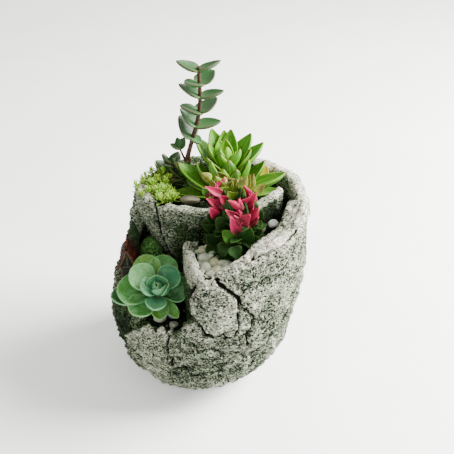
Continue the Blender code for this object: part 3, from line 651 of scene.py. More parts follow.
def build_up_clay(wall):
    """Raises the round lump and the folded band, and thickens the rim's inner side."""
    z, angle, outer = wall.z, wall.angle, wall.outer
    (middle, level), (half_wide, half_tall) = LUMP
    wall.lump = 1 - ((angle - middle) / half_wide) ** 2 - ((z - level) / half_tall) ** 2
    wall.push += LUMP_RISE * outer * np.clip(wall.lump, 0, 1) ** 0.5 * wall.seam_room
    band_edge = np.interp(angle, *zip(*GROOVES[0][0]), left=400, right=400)
    wall.band = outer * smooth_step(z - band_edge, 0.2, 1.8) * smooth_step(-angle, 6, 14)
    wall.push += BAND_RISE * wall.band
    thick = (~outer) * (wall.inset < 15) * smooth_step(z - wall.rim_top, -22, -7)
    thick *= smooth_step(-angle, 2, 16)
    thick *= (1 - smooth_step(-angle, 60, 74)) * (1 - smooth_step(wall.normals[:, 2], 0.2, 0.8))
    wall.push += RIM_THICKER * thick


def crack_bowl(wall):
    """The crack in the bowl's front face, beside the moss."""
    bowl_face = (~wall.outer) & (wall.normals[:, 1] < -0.3) & (wall.x < -8)
    near = line_distance(wall.x, wall.z, BOWL_CRACK, 1.0) + 0.8 * wall.jitter
    share = np.clip(1 - near / 1.5, 0, 1) * bowl_face
    wall.push -= 2.5 * share
    wall.crack = np.maximum(wall.crack, smooth_step(share, 0.1, 0.8))


def step_outer_layer(wall):
    """The outer layer ends in a step at the left, with a hollow beside it."""
    edge = np.interp(wall.angle, *zip(*LAYER_TOP)) + 1.6 * waves(wall.places, 8, 2)
    wall.side = -wall.angle + 1.2 * waves(wall.places, 7, 9)
    above = smooth_step(wall.side, 129, 132) * smooth_step(wall.z - edge, -0.6, 0.6)
    beside = smooth_step(wall.side, LAYER_SIDE - 0.6, LAYER_SIDE + 0.6) * smooth_step(wall.z, 12, 26)
    fade = 1 - smooth_step(wall.side, 150, 178)
    wall.hollow = wall.outer * np.maximum(above, beside) * fade * (wall.angle < 0)
    wall.push -= LAYER_STEP * wall.hollow


def find_worn_places(wall):
    """Where hands and weather have smoothed the clay: rim, lump, slab, lip and band."""
    x, y, z, outer, side = wall.x, wall.y, wall.z, wall.outer, wall.side
    rim_near = np.where(outer, smooth_step(z - wall.rim_top, -11, -3), 0)
    up = smooth_step(wall.normals[:, 2], 0.25, 0.7) * (z > 55)
    wall.rim = np.clip(np.maximum(rim_near, up), 0, 1)
    wall.slab = smooth_step(side, 108, 114) * (1 - smooth_step(side, 141, 145))
    wall.slab *= smooth_step(z, 22, 44) * outer
    wall.lip_side = ~outer * (np.abs(x + 2) < 15) * (y < -19)
    wall.lip = wall.lip_side * smooth_step(z - 122 - 0.3 * (y + 62), -3, 2)
    lump = 0.7 * np.clip(1.6 * wall.lump, 0, 1) * outer
    wall.worn = np.max([wall.rim, lump, 0.75 * wall.slab, 0.85 * wall.lip, 0.9 * wall.band], axis=0)


def roughen_clay(wall):
    """Folds, plates, crumbs and worm-like pits all over, less where the clay is worn."""
    places, z, outer, worn = wall.places, wall.z, wall.outer, wall.worn
    wall.broad = broad = waves(places, 26, 3)
    wall.folds = folds = waves(places, 17, 4, 3, 2.6)
    plates = waves(places, 13, 5, 3, 1.6)
    terraces = np.floor(plates * 4) / 4 + smooth_step(plates * 4 % 1, 0.35, 0.65) / 4
    clay_crumbs = waves(places, 3.4, 6, 3)
    pitted = smooth_step(waves(places, 18, 10, 2), -0.25, 0.35)
    worms = smooth_step(1 - np.abs(waves(places, 4.4, 13, 2, 1.5)) / 0.16, 0, 1)
    wall.low = low = smooth_step(-z, -105, -60)
    wall.pit = worms * pitted * (1 - 0.85 * worn) * (0.4 + 0.6 * outer)
    relief = 1.1 * broad + (0.7 + 1.2 * low) * folds + 2.4 * terraces * (0.5 + 0.5 * low)
    wall.push += wall.seam_room * (outer * (1 - 0.6 * worn)) * relief
    crumbly = (0.5 + 0.6 * outer - 0.25 * worn + 0.5 * wall.rim) * clay_crumbs
    wall.push += crumbly + 0.35 * (~outer) * broad - 0.9 * wall.pit
    wall.push += 1.1 * wall.rim * waves(places, 7.5, 21, 2)
    wall.detail = 1.1 * broad + folds + 1.7 * terraces + 0.8 * clay_crumbs


def find_damp_places(wall):
    """Painted shade darkening the clay in the hollow, under the bowl, beside the lip, low down, by the
    cottage and behind plants, with a few random real stains.
    """
    x, y, z, angle, side, outer, inset = (
        wall.x, wall.y, wall.z, wall.angle, wall.side, wall.outer, wall.inset
    )
    facing = wall.normals[:, 1]
    inside = ~outer & (wall.normals[:, 2] < 0.3)
    under_bowl = smooth_step(-z, -152, -118) * inside * (y < 0)
    stain = smooth_step(waves(wall.places, 22, 8, 2), 0.05, 0.5)
    far_side = inside * (facing < 0) * (y > 20)
    bowl_front = inside * smooth_step(-facing, 0.2, 0.5) * (y > -19)
    lip_foot = wall.lip_side * (x < 3) - wall.lip
    beside_lip = inside * (y < -5) * (y > -20) * smooth_step(-z, -150, -144)
    beside_lip = beside_lip * smooth_step(x, -20, -12) * smooth_step(-x, -22, -14)
    left_edge = smooth_step(side, LAYER_SIDE - 1, LAYER_SIDE + 1) * (1 - smooth_step(side, 156, 178))
    left_edge *= outer * (angle < 0) * smooth_step(z, 20, 34)
    slab_back = smooth_step(inset, 3.6, 4.6) * (inset < 14) * (angle < -112) * (angle > -136)
    slab_back *= (z > 72) * (z < 83)
    wall.bowl_rim = (~outer) * (y > -22) * (y < 4) * (inset > 6)
    stub_front = smooth_step(x, 36, 44) * smooth_step(164 + 0.61 * (x - 48) - z, -2, 2)
    wall.stub_foot = inside * (y > -21) * (y < 4) * stub_front
    by_house = smooth_step(-x, 49, 56) * smooth_step(y, -48, -41)
    by_house *= smooth_step(z + 9 * wall.broad, 84, 104)
    wall.by_house = by_house * (1 - smooth_step(y + 9 * wall.folds, -4, 30))
    by_stem = smooth_step(-x, -24, -10) * smooth_step(x, -50, -36)
    wall.by_stem = wall.rim * smooth_step(y, 30, 44) * by_stem
    # Every term is painted shade except stain, which is random real staining; wall.low darkens the
    # outer wall towards the bottom.
    shade_and_stain_sum = 0.68 * wall.hollow + 0.30 * bowl_front + 0.22 * under_bowl + 0.15 * stain
    shade_and_stain_sum += 0.25 * far_side * (x < 50) + slab_back + 0.24 * wall.bowl_rim * wall.rim
    shade_and_stain_sum += wall.stub_foot + 0.9 * np.clip(lip_foot, 0, 1) + 0.7 * beside_lip + left_edge
    shade_and_stain_sum += 0.22 * wall.low * outer + 0.75 * wall.by_house + 0.8 * wall.by_stem
    wall.damp = np.clip(shade_and_stain_sum, 0, 1) * (1 - 0.9 * wall.lip) + 0.24 * wall.lip


def shape_jar(pot):
    """Shapes the clay, and keeps the numbers that its material needs at each point."""
    wall = read_wall(pot)
    open_cracks(wall)
    build_up_clay(wall)
    crack_bowl(wall)
    step_outer_layer(wall)
    find_worn_places(wall)
    roughen_clay(wall)
    find_damp_places(wall)
    at_foot = np.minimum(wall.push, 0) * smooth_step(wall.z, 0, 3)
    push = np.where(wall.z < 3, at_foot, wall.push)
    place_points(pot, wall.places + wall.normals * push[:, None])
    lump = 0.35 * np.clip(wall.lump, 0, 1) * wall.outer
    # Painted shade: the rim is less pale on the bowl's inner rim, and by the cottage and under the tall
    # stem below.
    rim = wall.rim * (1 - 0.45 * wall.bowl_rim)
    pale = np.max([rim, 0.9 * wall.band, 0.5 * wall.lip, 0.35 * wall.slab, lump], axis=0)
    pale *= (1 - 0.8 * wall.by_house) * (1 - 0.8 * wall.by_stem)
    recess = np.clip(0.25 - 0.45 * wall.detail, -0.4, 1) * wall.outer * (1 - 0.6 * wall.worn)
    mark(pot, "rim", pale * (0.85 + 0.3 * wall.broad))
    mark(pot, "recess", recess)
    mark(pot, "pit", wall.pit)
    # Painted shade at the stub's foot is added to the crack black.
    mark(pot, "crack", np.maximum(wall.crack, 0.42 * wall.stub_foot))
    # The painted-shade mask, with a few real stains, kept for the material.
    mark(pot, "damp", wall.damp)


def thin_hidden_wall(pot):
    """Fewer faces on the wall below the soil, which nothing shows."""
    places, _ = points_of(pot)
    x, y, z = places.T
    reach = np.hypot(x - np.interp(z, JAR_LEVELS, JAR_CENTRES), y)
    in_bowl, in_pocket, in_ledge = BURIED
    buried = np.where(y > 2, in_bowl, np.where(x > 2, in_pocket, in_ledge))
    hidden = (reach < np.interp(z, JAR_LEVELS, JAR_RADII) - 5) & (z < buried)
    group = pot.vertex_groups.new(name="hidden")
    group.add([int(i) for i in np.flatnonzero(hidden)], 1.0, "REPLACE")
    step = pot.modifiers.new("thin", "DECIMATE")
    step.vertex_group = "hidden"
    step.ratio = 1 - 0.93 * hidden.mean()
    apply_modifiers(pot)
    pot.vertex_groups.clear()


def thin_flat_places(pot):
    """Fewer faces where the shaped wall is nearly flat."""
    step = pot.modifiers.new("thin", "DECIMATE")
    step.ratio = min(1.0, POT_TRIANGLES / sum(len(face.vertices) - 2 for face in pot.data.polygons))
    apply_modifiers(pot)


def cut_away(pot, near, far):
    """Cuts a prism between two outlines in space away."""
    work = bmesh.new()
    rings = [[work.verts.new(Vector(place) * MM) for place in ring] for ring in (near, far)]
    work.faces.new(rings[0])
    work.faces.new(list(reversed(rings[1])))
    count = len(near)
    for i in range(count):
        j = (i + 1) % count
        work.faces.new((rings[0][i], rings[0][j], rings[1][j], rings[1][i]))
    bmesh.ops.triangulate(work, faces=work.faces)
    bmesh.ops.recalc_face_normals(work, faces=work.faces)
    mesh = bpy.data.meshes.new("cutter")
    work.to_mesh(mesh)
    work.free()
    cutter = bpy.data.objects.new("cutter", mesh)
    bpy.context.scene.collection.objects.link(cutter)
    step = pot.modifiers.new("cut", "BOOLEAN")
    step.operation = "DIFFERENCE"
    step.object = cutter
    apply_modifiers(pot)
    bpy.data.objects.remove(cutter)


def make_pot():
    pot = copy_of("pot", "broken_jar")
    for notch, span in [(notch, NOTCH_REACH) for notch in NOTCHES] + [(SLAB_BACK, SLAB_REACH)]:
        cut_away(pot, *[[wall_place(a, z, reach) for a, z in notch] for reach in span])
    cut_away(pot, *[[(x, y, z) for x, y in LIP_GAP] for z in LIP_GAP_HEIGHTS])
    remesh(pot, 0.95, 5)
    thin_hidden_wall(pot)
    shape_jar(pot)
    thin_flat_places(pot)
    return finish_piece(pot, stoneware(), "stoneware", "pot")


# Soil

SOILS = ("soil_ledge", "soil_pocket", "soil_bowl")
SOIL_SPREAD = 1.6  # sideways, to meet the jar's uneven wall


def make_soil(node):
    ground = copy_of(node, node + "_ground")
    remesh(ground, 1.7, 3)
    places, normals = points_of(ground)
    top = places[:, 2].max()
    push = 0.8 * waves(places, 9, 11) + 0.6 * waves(places, 3, 12)
    side = (1 - np.abs(normals[:, 2])) * smooth_step(places[:, 2], top - 30, top - 12)
    places = places + normals * (push * (normals[:, 2] > 0.3) + SOIL_SPREAD * side)[:, None]
    place_points(ground, places)
    return finish_piece(ground, SOIL_FINISH, "potting_soil", node)


def surface(pieces):
    """A search tree of the pieces' faces, to set small things on."""
    points, faces = [], []
    for piece in pieces:
        start = len(points)
        points += [v.co.copy() for v in piece.data.vertices]
        faces += [[start + i for i in face.vertices] for face in piece.data.polygons]
    return BVHTree.FromPolygons(points, faces)


def drop(tree, x, y, top=200):
    """Height of the surface under a place, or None."""
    hit = tree.ray_cast(Vector((x, y, top)) * MM, Vector((0, 0, -1)))
    return None if hit[0] is None else hit[0].z / MM


def stone(name, size, seed, cuts=7, detail=3):
    """A rounded stone with worn flat facets, from an icosphere."""
    rng = random.Random(seed)
    deselect()
    bpy.ops.mesh.primitive_ico_sphere_add(subdivisions=detail, radius=1)
    piece = bpy.context.object
    piece.name = name
    facets = []
    for _ in range(cuts):
        direction = Vector((rng.gauss(0, 1), rng.gauss(0, 1), rng.gauss(0, 1))).normalized()
        facets.append((direction, rng.uniform(0.62, 0.85)))
    shift = Vector((rng.uniform(0, 99), 0, 0))
    for vertex in piece.data.vertices:
        point = vertex.co * (1 + 0.10 * noise.noise(vertex.co * 1.4 + shift))
        for direction, limit in facets:
            over = point.dot(direction) - limit
            if over > 0:
                point = point - direction * over * 0.8
        point *= 1 + 0.015 * noise.noise(vertex.co * 6 + shift)
        vertex.co = point
    piece.data.transform(Matrix.Diagonal((*(s * MM for s in size), 1.0)))
    return piece


def turned(piece, place, rng, most=180):
    """Turns a small piece at random and moves it to its place."""
    turn = Matrix.Rotation(math.radians(rng.uniform(-most, most)), 4, "Z")
    turn = turn @ Matrix.Rotation(math.radians(rng.uniform(-most, most) * 0.3), 4, "X")
    piece.data.transform(Matrix.Translation(Vector(place) * MM) @ turn)
    return piece


# Regions of soil that show, as (x, y) centre, half sizes and number of crumbs
CRUMB_FIELDS = (
    ((-31, -30), (30, 34), 190),
    ((36, -30), (34, 26), 200),
    ((12, 30), (62, 30), 430),
)
LOWEST_GROUND = 70
CRUMB_COLOURS = (
    (0.015, 0.016, 0.008), (0.035, 0.032, 0.017), (0.07, 0.06, 0.035), (0.008, 0.012, 0.005),
    (0.13, 0.13, 0.09), (0.007, 0.022, 0.005), (0.015, 0.042, 0.009), (0.010, 0.030, 0.006),
)


def strew_crumbs(tree):
    """Crumbs of soil, grit and bark strewn over the ground, each sunk a little."""
    rng = random.Random(20)
    patterns = [stone("soil_crumbs", (1, 1, 1), 20 + i, 5, 2) for i in range(5)]
    parts = []
    for (cx, cy), (wide, deep), count in CRUMB_FIELDS:
        for _ in range(count):
            x, y = cx + rng.uniform(-wide, wide), cy + rng.uniform(-deep, deep)
            z = drop(tree, x, y)
            if z is None or z < LOWEST_GROUND:
                continue
            size = rng.uniform(0.7, 1.8)
            part = patterns[0].copy()
            part.data = rng.choice(patterns).data.copy()
            bpy.context.scene.collection.objects.link(part)
            sides = (size, size * rng.uniform(0.6, 1), size * rng.uniform(0.5, 0.8), 1)
            part.data.transform(Matrix.Diagonal(sides))
            tint(part, rng.choice(CRUMB_COLOURS))
            parts.append(turned(part, (x, y, z + size * 0.2), rng))
    remove(*patterns)
    return finish_piece(join("soil_crumbs", parts), crumbs(), "potting_soil")


# Leaves


def half_width(u, outline):
    """Half width of a leaf as a share of its greatest, through the outline's points."""
    return float(np.interp(u, *zip(*outline)))


# Leaf outlines, as (share of the length, share of half the width)
SPOON = (
    (0, 0.20), (0.12, 0.26), (0.25, 0.42), (0.4, 0.70), (0.53, 0.92), (0.65, 1.0), (0.76, 0.95),
    (0.86, 0.76), (0.93, 0.50), (0.97, 0.27), (1, 0.04),
)
LANCE = (
    (0, 0.45), (0.12, 0.60), (0.28, 0.84), (0.42, 0.97), (0.54, 1.0), (0.68, 0.92), (0.80, 0.70),
    (0.90, 0.40), (0.96, 0.18), (1, 0.04),
)
HEART = (
    (0, 0.40), (0.08, 0.74), (0.2, 0.97), (0.33, 1.0), (0.5, 0.90), (0.7, 0.66), (0.86, 0.38),
    (0.95, 0.17), (1, 0.05),
)
SCALE = (
    (0, 0.55), (0.12, 0.85), (0.28, 1.0), (0.45, 0.95), (0.65, 0.72), (0.83, 0.42), (0.94, 0.2),
    (1, 0.06),
)
BRACT = (
    (0, 0.55), (0.12, 0.84), (0.28, 1.0), (0.46, 0.92), (0.66, 0.62), (0.84, 0.28), (0.95, 0.08),
    (1, 0.02),
)
NEEDLE = ((0, 0.5), (0.3, 1.0), (0.7, 0.6), (1, 0.06))


def leaf_pattern(name, length, width, thickness, outline, bend, cup, fold=0.0, tip_curl=0.0,
                 rows=10, columns=6, smooth=1, sink=1.0):
    """One leaf along +X from a grid: bend lifts its length, cup its sides, fold keels its middle.

    Each leaf starts sink before its root, so that it meets its stem.
    """
    deselect()
    bpy.ops.mesh.primitive_grid_add(x_subdivisions=rows, y_subdivisions=columns, size=1, calc_uvs=True)
    piece = bpy.context.object
    piece.name = name
    flesh = piece.vertex_groups.new(name="flesh")
    for vertex in piece.data.vertices:
        u, v = vertex.co.x + 0.5, vertex.co.y * 2
        half = width / 2 * half_width(u, outline)
        lift = bend * length * u * u - tip_curl * length * max(u - 0.8, 0) ** 2 * 25
        z = lift + cup * half * v * v + fold * half * abs(v)
        vertex.co = Vector((length * u - sink, half * v, z)) * MM
        full = math.sqrt(max(1 - v * v, 0)) * math.sqrt(max(1 - u ** 4, 0)) * min(1, 0.6 + u)
        flesh.add([vertex.index], max(full, 0.16), "REPLACE")
    step = piece.modifiers.new("thickness", "SOLIDIFY")
    step.thickness = thickness * MM
    step.offset = -1
    step.vertex_group = "flesh"
    step.thickness_vertex_group = 0.1
    if smooth:
        step = piece.modifiers.new("smooth", "SUBSURF")
        step.levels = step.render_levels = smooth
    apply_modifiers(piece)
    piece.vertex_groups.clear()
    return piece


def grown(pattern, matrix, colour, size=(1, 1, 1)):
    """A copy of a leaf pattern, scaled along its own axes and set in place."""
    part = pattern.copy()
    part.data = pattern.data.copy()
    bpy.context.scene.collection.objects.link(part)
    part.data.transform(matrix @ Matrix.Diagonal((*size, 1.0)))
    tint(part, colour)
    return part


def aim(root, azimuth, elevation, roll=0.0):
    """Places a leaf at its root in millimetres, pointing along a direction."""
    turn = Matrix.Rotation(math.radians(azimuth), 4, "Z")
    turn = turn @ Matrix.Rotation(-math.radians(elevation), 4, "Y")
    return Matrix.Translation(Vector(root) * MM) @ turn @ Matrix.Rotation(math.radians(roll), 4, "X")


def laid(pattern, length, width, root, tip, wide, colour, facing):
    """A copy of a leaf pattern from root to tip, with its upper side turned towards facing."""
    root, tip = Vector(root), Vector(tip)
    along = (tip - root).normalized()
    up = Vector(facing)
    up = (up - along * up.dot(along)).normalized()
    turn = Matrix((along, up.cross(along), up)).transposed().to_4x4()
    size = ((tip - root).length / length, wide / width, 1)
    return grown(pattern, Matrix.Translation(root * MM) @ turn, colour, size)


def stem(name, points, radii, colour, knots=0.0):
    """A round stem along points, from a curve with a bevel; knots swells it now and then."""
    line = bpy.data.curves.new(name, "CURVE")
    line.dimensions = "3D"
    line.bevel_depth = MM
    line.bevel_resolution = 3
    line.use_fill_caps = True
    spline = line.splines.new("NURBS")
    spline.points.add(len(points) - 1)
    spline.use_endpoint_u = True
    spline.order_u = 3
    spline.resolution_u = 6
    for i, (point, place) in enumerate(zip(spline.points, points)):
        point.co = (*(c * MM for c in place), 1.0)
        share = i / (len(points) - 1)
        point.radius = radii[0] + (radii[1] - radii[0]) * share + knots * (i % 2)
    piece = bpy.data.objects.new(name, line)
    bpy.context.scene.collection.objects.link(piece)
    activate(piece)
    bpy.ops.object.convert(target="MESH")
    tint(piece, colour)
    return piece


def varied(colour, rng, amount=0.12):
    """The colour, a little lighter or darker and warmer or cooler."""
    shade = 1 + rng.uniform(-amount, amount)
    warm = rng.uniform(-amount, amount) * 0.5
    return (colour[0] * shade * (1 + warm), colour[1] * shade, colour[2] * shade * (1 - warm))


# Blue rosette on the ledge

BLUE_ROOT = (-28.5, -38.5, 100.5)
BLUE_TILT = 24
BLUE_HOLE = (-31, -36, 3.6)
PALE, BLUISH, TEAL = (0.18, 0.44, 0.15), (0.026, 0.165, 0.075), (0.085, 0.31, 0.17)
FROSTED = (0.15, 0.40, 0.22)
LEAFY, YELLOWISH = (0.055, 0.21, 0.03), (0.14, 0.32, 0.04)
# DEEP and DARK are darker copies of the leaf green: painted shade for the low leaves under the others.
DEEP, DARK = (0.014, 0.085, 0.018), (0.006, 0.035, 0.008)
# azimuth, elevation, length, width, height of the root on the core, colour
BLUE_LEAVES = (
    (178, 6, 34, 27, -2, LEAFY), (-178, -4, 39, 20, -4, DEEP), (116, 6, 36, 23, -2.5, YELLOWISH),
    (83, 6, 33.5, 24, -2.5, LEAFY), (-85, -6, 22, 14, -3.5, YELLOWISH), (-138, 4, 29, 22, -2, LEAFY),
    (150, -5, 30, 18, -4, DARK), (40, -5, 27, 18, -3.5, DARK), (-52, -5, 26, 9, -3.5, YELLOWISH),
    (144, 20, 30, 23, 0, PALE), (53, 20, 25, 20, 0, BLUISH), (8, 6, 25, 23, -1, DEEP),
    (-96, 20, 22, 17, 0, TEAL),
    (186, 40, 20, 16, 1.5, FROSTED), (-5, 46, 16, 15, 2, BLUISH), (101, 56, 17, 16, 2.5, BLUISH),
    (-60, 58, 13.5, 13, 2.5, TEAL), (215, 68, 12, 12, 3, TEAL), (28, 76, 12, 11, 3.5, BLUISH),
    (130, 78, 8, 8, 4, TEAL),
)


def make_blue_rosette():
    finish = leaf_finish(
        "blue_green_leaf", (0.010, 0.055, 0.012), (0.18, 0.40, 0.17), (0.20, 0.31, 0.11),
        root_length=0.75, edge_width=0.10, tip_length=0.04, mottle=0.48, roughness=0.5,
    )
    x, y, z = BLUE_ROOT
    tilt = Matrix.Translation(Vector(BLUE_ROOT) * MM)
    tilt = tilt @ Matrix.Rotation(math.radians(BLUE_TILT), 4, "X")
    wide = leaf_pattern(
        "spoon", 28, 20, 4.8, SPOON, bend=0.12, cup=0.42, tip_curl=-0.03, rows=16, columns=8,
    )
    rng = random.Random(5)
    ground = BLUE_HOLE[0], BLUE_HOLE[1], 88
    line = [ground, (ground[0], ground[1], 94), (x, y, z - 3), (x, y - 0.5, z + 3)]
    parts = [stem("blue_stem", line, (3.4, 4.6), (0.14, 0.17, 0.07))]
    for azimuth, elevation, length, width, rise, colour in BLUE_LEAVES:
        size = (length / 28, width / 20, 0.55 + 0.45 * length / 28)
        place = tilt @ aim((0, 0, rise), azimuth, elevation, rng.uniform(-5, 5))
        parts.append(grown(wide, place, varied(colour, rng, 0.08), size))
    remove(wide)
    leaves = join("blue_rosette_leaves", parts)
    return finish_piece(leaves, finish, "blue_green_leaf", "blue_rosette")


# Green rosette in the bowl

GREEN_ROOT = (24, 28, 165)
# SHADE is a darker copy of the leaf green: painted shade for leaves that lie low or on the shaded side.
FRESH, LIME, SHADE = (0.033, 0.155, 0.003), (0.090, 0.275, 0.006), (0.011, 0.066, 0.003)
GREEN_STEM = (0.10, 0.14, 0.05)
GREEN_LEAVES = (
    (150, 44, 42, 18, 0, FRESH), (126, 58, 42, 16, 1, FRESH), (118, 62, 31, 14, 2, LIME),
    (95, 60, 38, 15, 2, LIME), (75, 62, 40, 15, 1, FRESH), (92, 74, 31, 13, 3, LIME),
    (-60, 80, 28, 12, 3, LIME), (35, 49, 42, 17, 1, FRESH), (20, 36, 43, 18, 0, FRESH),
    (-75, 72, 26, 12, 2, LIME), (60, 22, 38, 14, -2, SHADE), (105, 20, 36, 14, -2, SHADE),
    (-120, 66, 28, 13, 1, FRESH), (-32, 66, 30, 14, 0, FRESH), (-140, 72, 29, 13, 2, FRESH),
    (-20, 62, 31, 14, 1.5, FRESH), (175, 60, 33, 14, 1.5, FRESH), (-150, 50, 30, 14, 0, SHADE),
    (-100, -4, 18, 11, 0, SHADE), (-55, -6, 20, 12, -1, SHADE), (5, 48, 34, 14, 0, SHADE),
)
# Lower leaves from the front of the rosette, as (root, azimuth, elevation, length, width, colour)
GREEN_FRONT = (
    ((21, 14, 159), 160, 26, 43.5, 18, FRESH), ((21, 14, 158), 153, 6, 34, 14, SHADE),
    ((20, 13, 158), 172, -2, 39.5, 14, SHADE), ((30, 13, 159), -2, 24, 47, 18, FRESH),
    ((28, 12, 158), 7, 2, 39, 14, SHADE), ((27, 16, 160), -90, 84, 30, 13, SHADE),
    ((20, 17, 160), -160, 70, 31, 13, FRESH), ((33, 17, 160), -10, 68, 32, 13, FRESH),
    ((23, 14, 159), -120, 80, 25, 12, LIME), ((31, 13, 159), -60, 76, 26, 12, SHADE),
    ((36, 18, 160), 12, 48, 32, 13, SHADE), ((17, 18, 160), 172, 52, 30, 12, SHADE),
)
YELLOW_LEAF = (52, 36, 158.2, 60, 38, 15, 11)
DRIED = (0.20, 0.07, 0.035)
DRIED_LEAVES = (  # azimuth, elevation, length, width
    (-110, 26, 15, 6), (-70, 34, 13, 5), (-140, 30, 14, 6), (-50, 20, 14, 6), (-95, 52, 12, 5),
)
DRIED_ON_STEM = ((200, 20, 170), (330, 35, 173), (120, 30, 168))  # azimuth, elevation, height


def make_green_rosette():
    finish = leaf_finish(
        "green_leaf", (0.16, 0.32, 0.015), (0.20, 0.39, 0.03), (0.14, 0.10, 0.02),
        root_length=0.24, edge_width=0.08, tip_length=0.045, mottle=0.22, stripes=0.55,
        roughness=0.48, shine=0.25,
    )
    x, y, z = GREEN_ROOT
    boat = leaf_pattern(
        "boat", 40, 13, 3.6, LANCE, bend=0.05, cup=0.42, tip_curl=-0.04, fold=0.10, rows=16,
    )
    rng = random.Random(6)
    line = [(x, y, 151), (x, y, 157), (x, y, z), (x, y, z + 5)]
    parts = [stem("green_stem", line, (3.2, 4.2), GREEN_STEM)]

    def add_leaf(root, azimuth, elevation, length, width, colour, roll):
        size = (length / 40, width / 13, 0.5 + 0.5 * length / 40)
        place = aim(root, azimuth, elevation, rng.uniform(-roll, roll))
        parts.append(grown(boat, place, varied(colour, rng), size))

    for azimuth, elevation, length, width, rise, colour in GREEN_LEAVES:
        add_leaf((x, y, z + rise), azimuth, elevation, length, width, colour, 6)
    for leaf in GREEN_FRONT:
        add_leaf(*leaf, 4)
    line = [(25, 13, 150), (25, 13, 155), (25, 13, 161)]
    parts.append(stem("front_stem", line, (2.6, 3.4), GREEN_STEM))
    remove(boat)
    finish_piece(join("green_rosette_leaves", parts), finish, "green_leaf", "green_rosette")


def make_dried_leaves():
    """Withered leaves under the green rosette and beside the tall plant."""
    withered = leaf_pattern("withered", 14, 6, 1.0, LANCE, bend=0.25, cup=0.6, rows=8, columns=4)
    rng = random.Random(7)
    x, y, z = GREEN_ROOT
    parts = []
    for azimuth, elevation, length, width in DRIED_LEAVES:
        place = aim((x, y - 2, z + 2), azimuth, elevation, rng.uniform(-40, 40))
        parts.append(grown(withered, place, varied(DRIED, rng, 0.3), (length / 14, width / 6, 1)))
    for azimuth, elevation, height in DRIED_ON_STEM:
        place = aim((-9, 35, height), azimuth, elevation, rng.uniform(-40, 40))
        parts.append(grown(withered, place, varied(DRIED, rng, 0.3), (0.8, 0.9, 1)))
    remove(withered)
    return finish_piece(join("dried_leaves", parts), bark(), "yellow_leaf")


def make_yellow_leaf():
    finish = leaf_finish(
        "yellow_leaf", (0.74, 0.62, 0.05), (0.80, 0.60, 0.08), (0.42, 0.24, 0.03),
        root_length=0.3, edge_width=0.2, tip_length=0.1, mottle=0.3, roughness=0.5,
    )
    x, y, z, azimuth, elevation, length, width = YELLOW_LEAF
    pattern = leaf_pattern("fallen", length, width, 1.6, LANCE, bend=0.1, cup=0.3)
    leaf = grown(pattern, aim((x, y, z), azimuth, elevation), (0.80, 0.56, 0.012))
    remove(pattern)
    return finish_piece(join("yellow_leaf_fallen", [leaf]), finish, "yellow_leaf", "yellow_leaf")


# Tall stem plant

TALL_STEM = (
    (-10, 34, 151), (-9.5, 34.5, 160), (-8.5, 35, 170), (-7, 36, 180), (-3, 36, 195), (1, 36, 208),
    (3.6, 36, 221), (4.6, 36, 234), (4.1, 36, 246), (3.6, 36, 258),
)
TALL_PAIRS = (
    (8.8, (180, 16, 19, 14), (2, 16, 19, 14)),
    (7.9, (228, 10, 17, 16), (48, 12, 18, 17)),
    (7.0, (176, 24, 20, 15), (-6, 10, 20, 15)),
    (6.0, (212, 22, 20, 17), (40, 14, 20, 18)),
    (5.1, (158, 34, 19, 15), (-8, 8, 21, 16)),
    (4.3, (148, 44, 21, 20), (-40, -35, 9, 10)),
)
SIDE_SHOOT = ((-7.6, 35.6, 176), (-10.5, 35, 182), (-12.6, 34, 190))
SIDE_LEAVES = ((200, 22, 9.5, 9), (50, 40, 9.5, 9), (120, 50, 9, 8))
LOW_SHOOT = ((-19, 41, 151), (-19, 41, 158), (-20, 40, 166), (-21, 39, 173))
LOW_PAIRS = (
    (0.9, (200, 12, 16, 14), (35, 10, 15, 13)),
    (1.5, (280, 14, 15, 13), (110, 14, 15, 13)),
    (1.9, (165, 20, 17, 14), (-10, 18, 15, 13)),
    (2.4, (240, 30, 15, 13), (60, 28, 15, 13)),
    (2.9, (200, 48, 13, 12), (20, 44, 13, 12)),
)
BASE_LEAVES = (  # low on the tall stem: height, azimuth, elevation, length, width
    (156, 250, -4, 18, 15), (157, 330, -6, 17, 14), (161, 290, 68, 15, 13), (160, 205, 18, 17, 14),
    (166, 255, 62, 13, 12), (163, 185, 34, 18, 14), (169, 330, 58, 13, 12), (170, 170, 40, 14, 12),
    (158, 170, 2, 19, 15), (165, 225, -8, 15, 13),
)
SAGE, SAGE_LIGHT, BOTTLE = (0.013, 0.063, 0.013), (0.031, 0.112, 0.027), (0.016, 0.062, 0.003)
BROWN_STEM = (0.085, 0.045, 0.028)


def point_along(line, position):
    i = min(int(position), len(line) - 2)
    return Vector(line[i]).lerp(Vector(line[i + 1]), position - i)


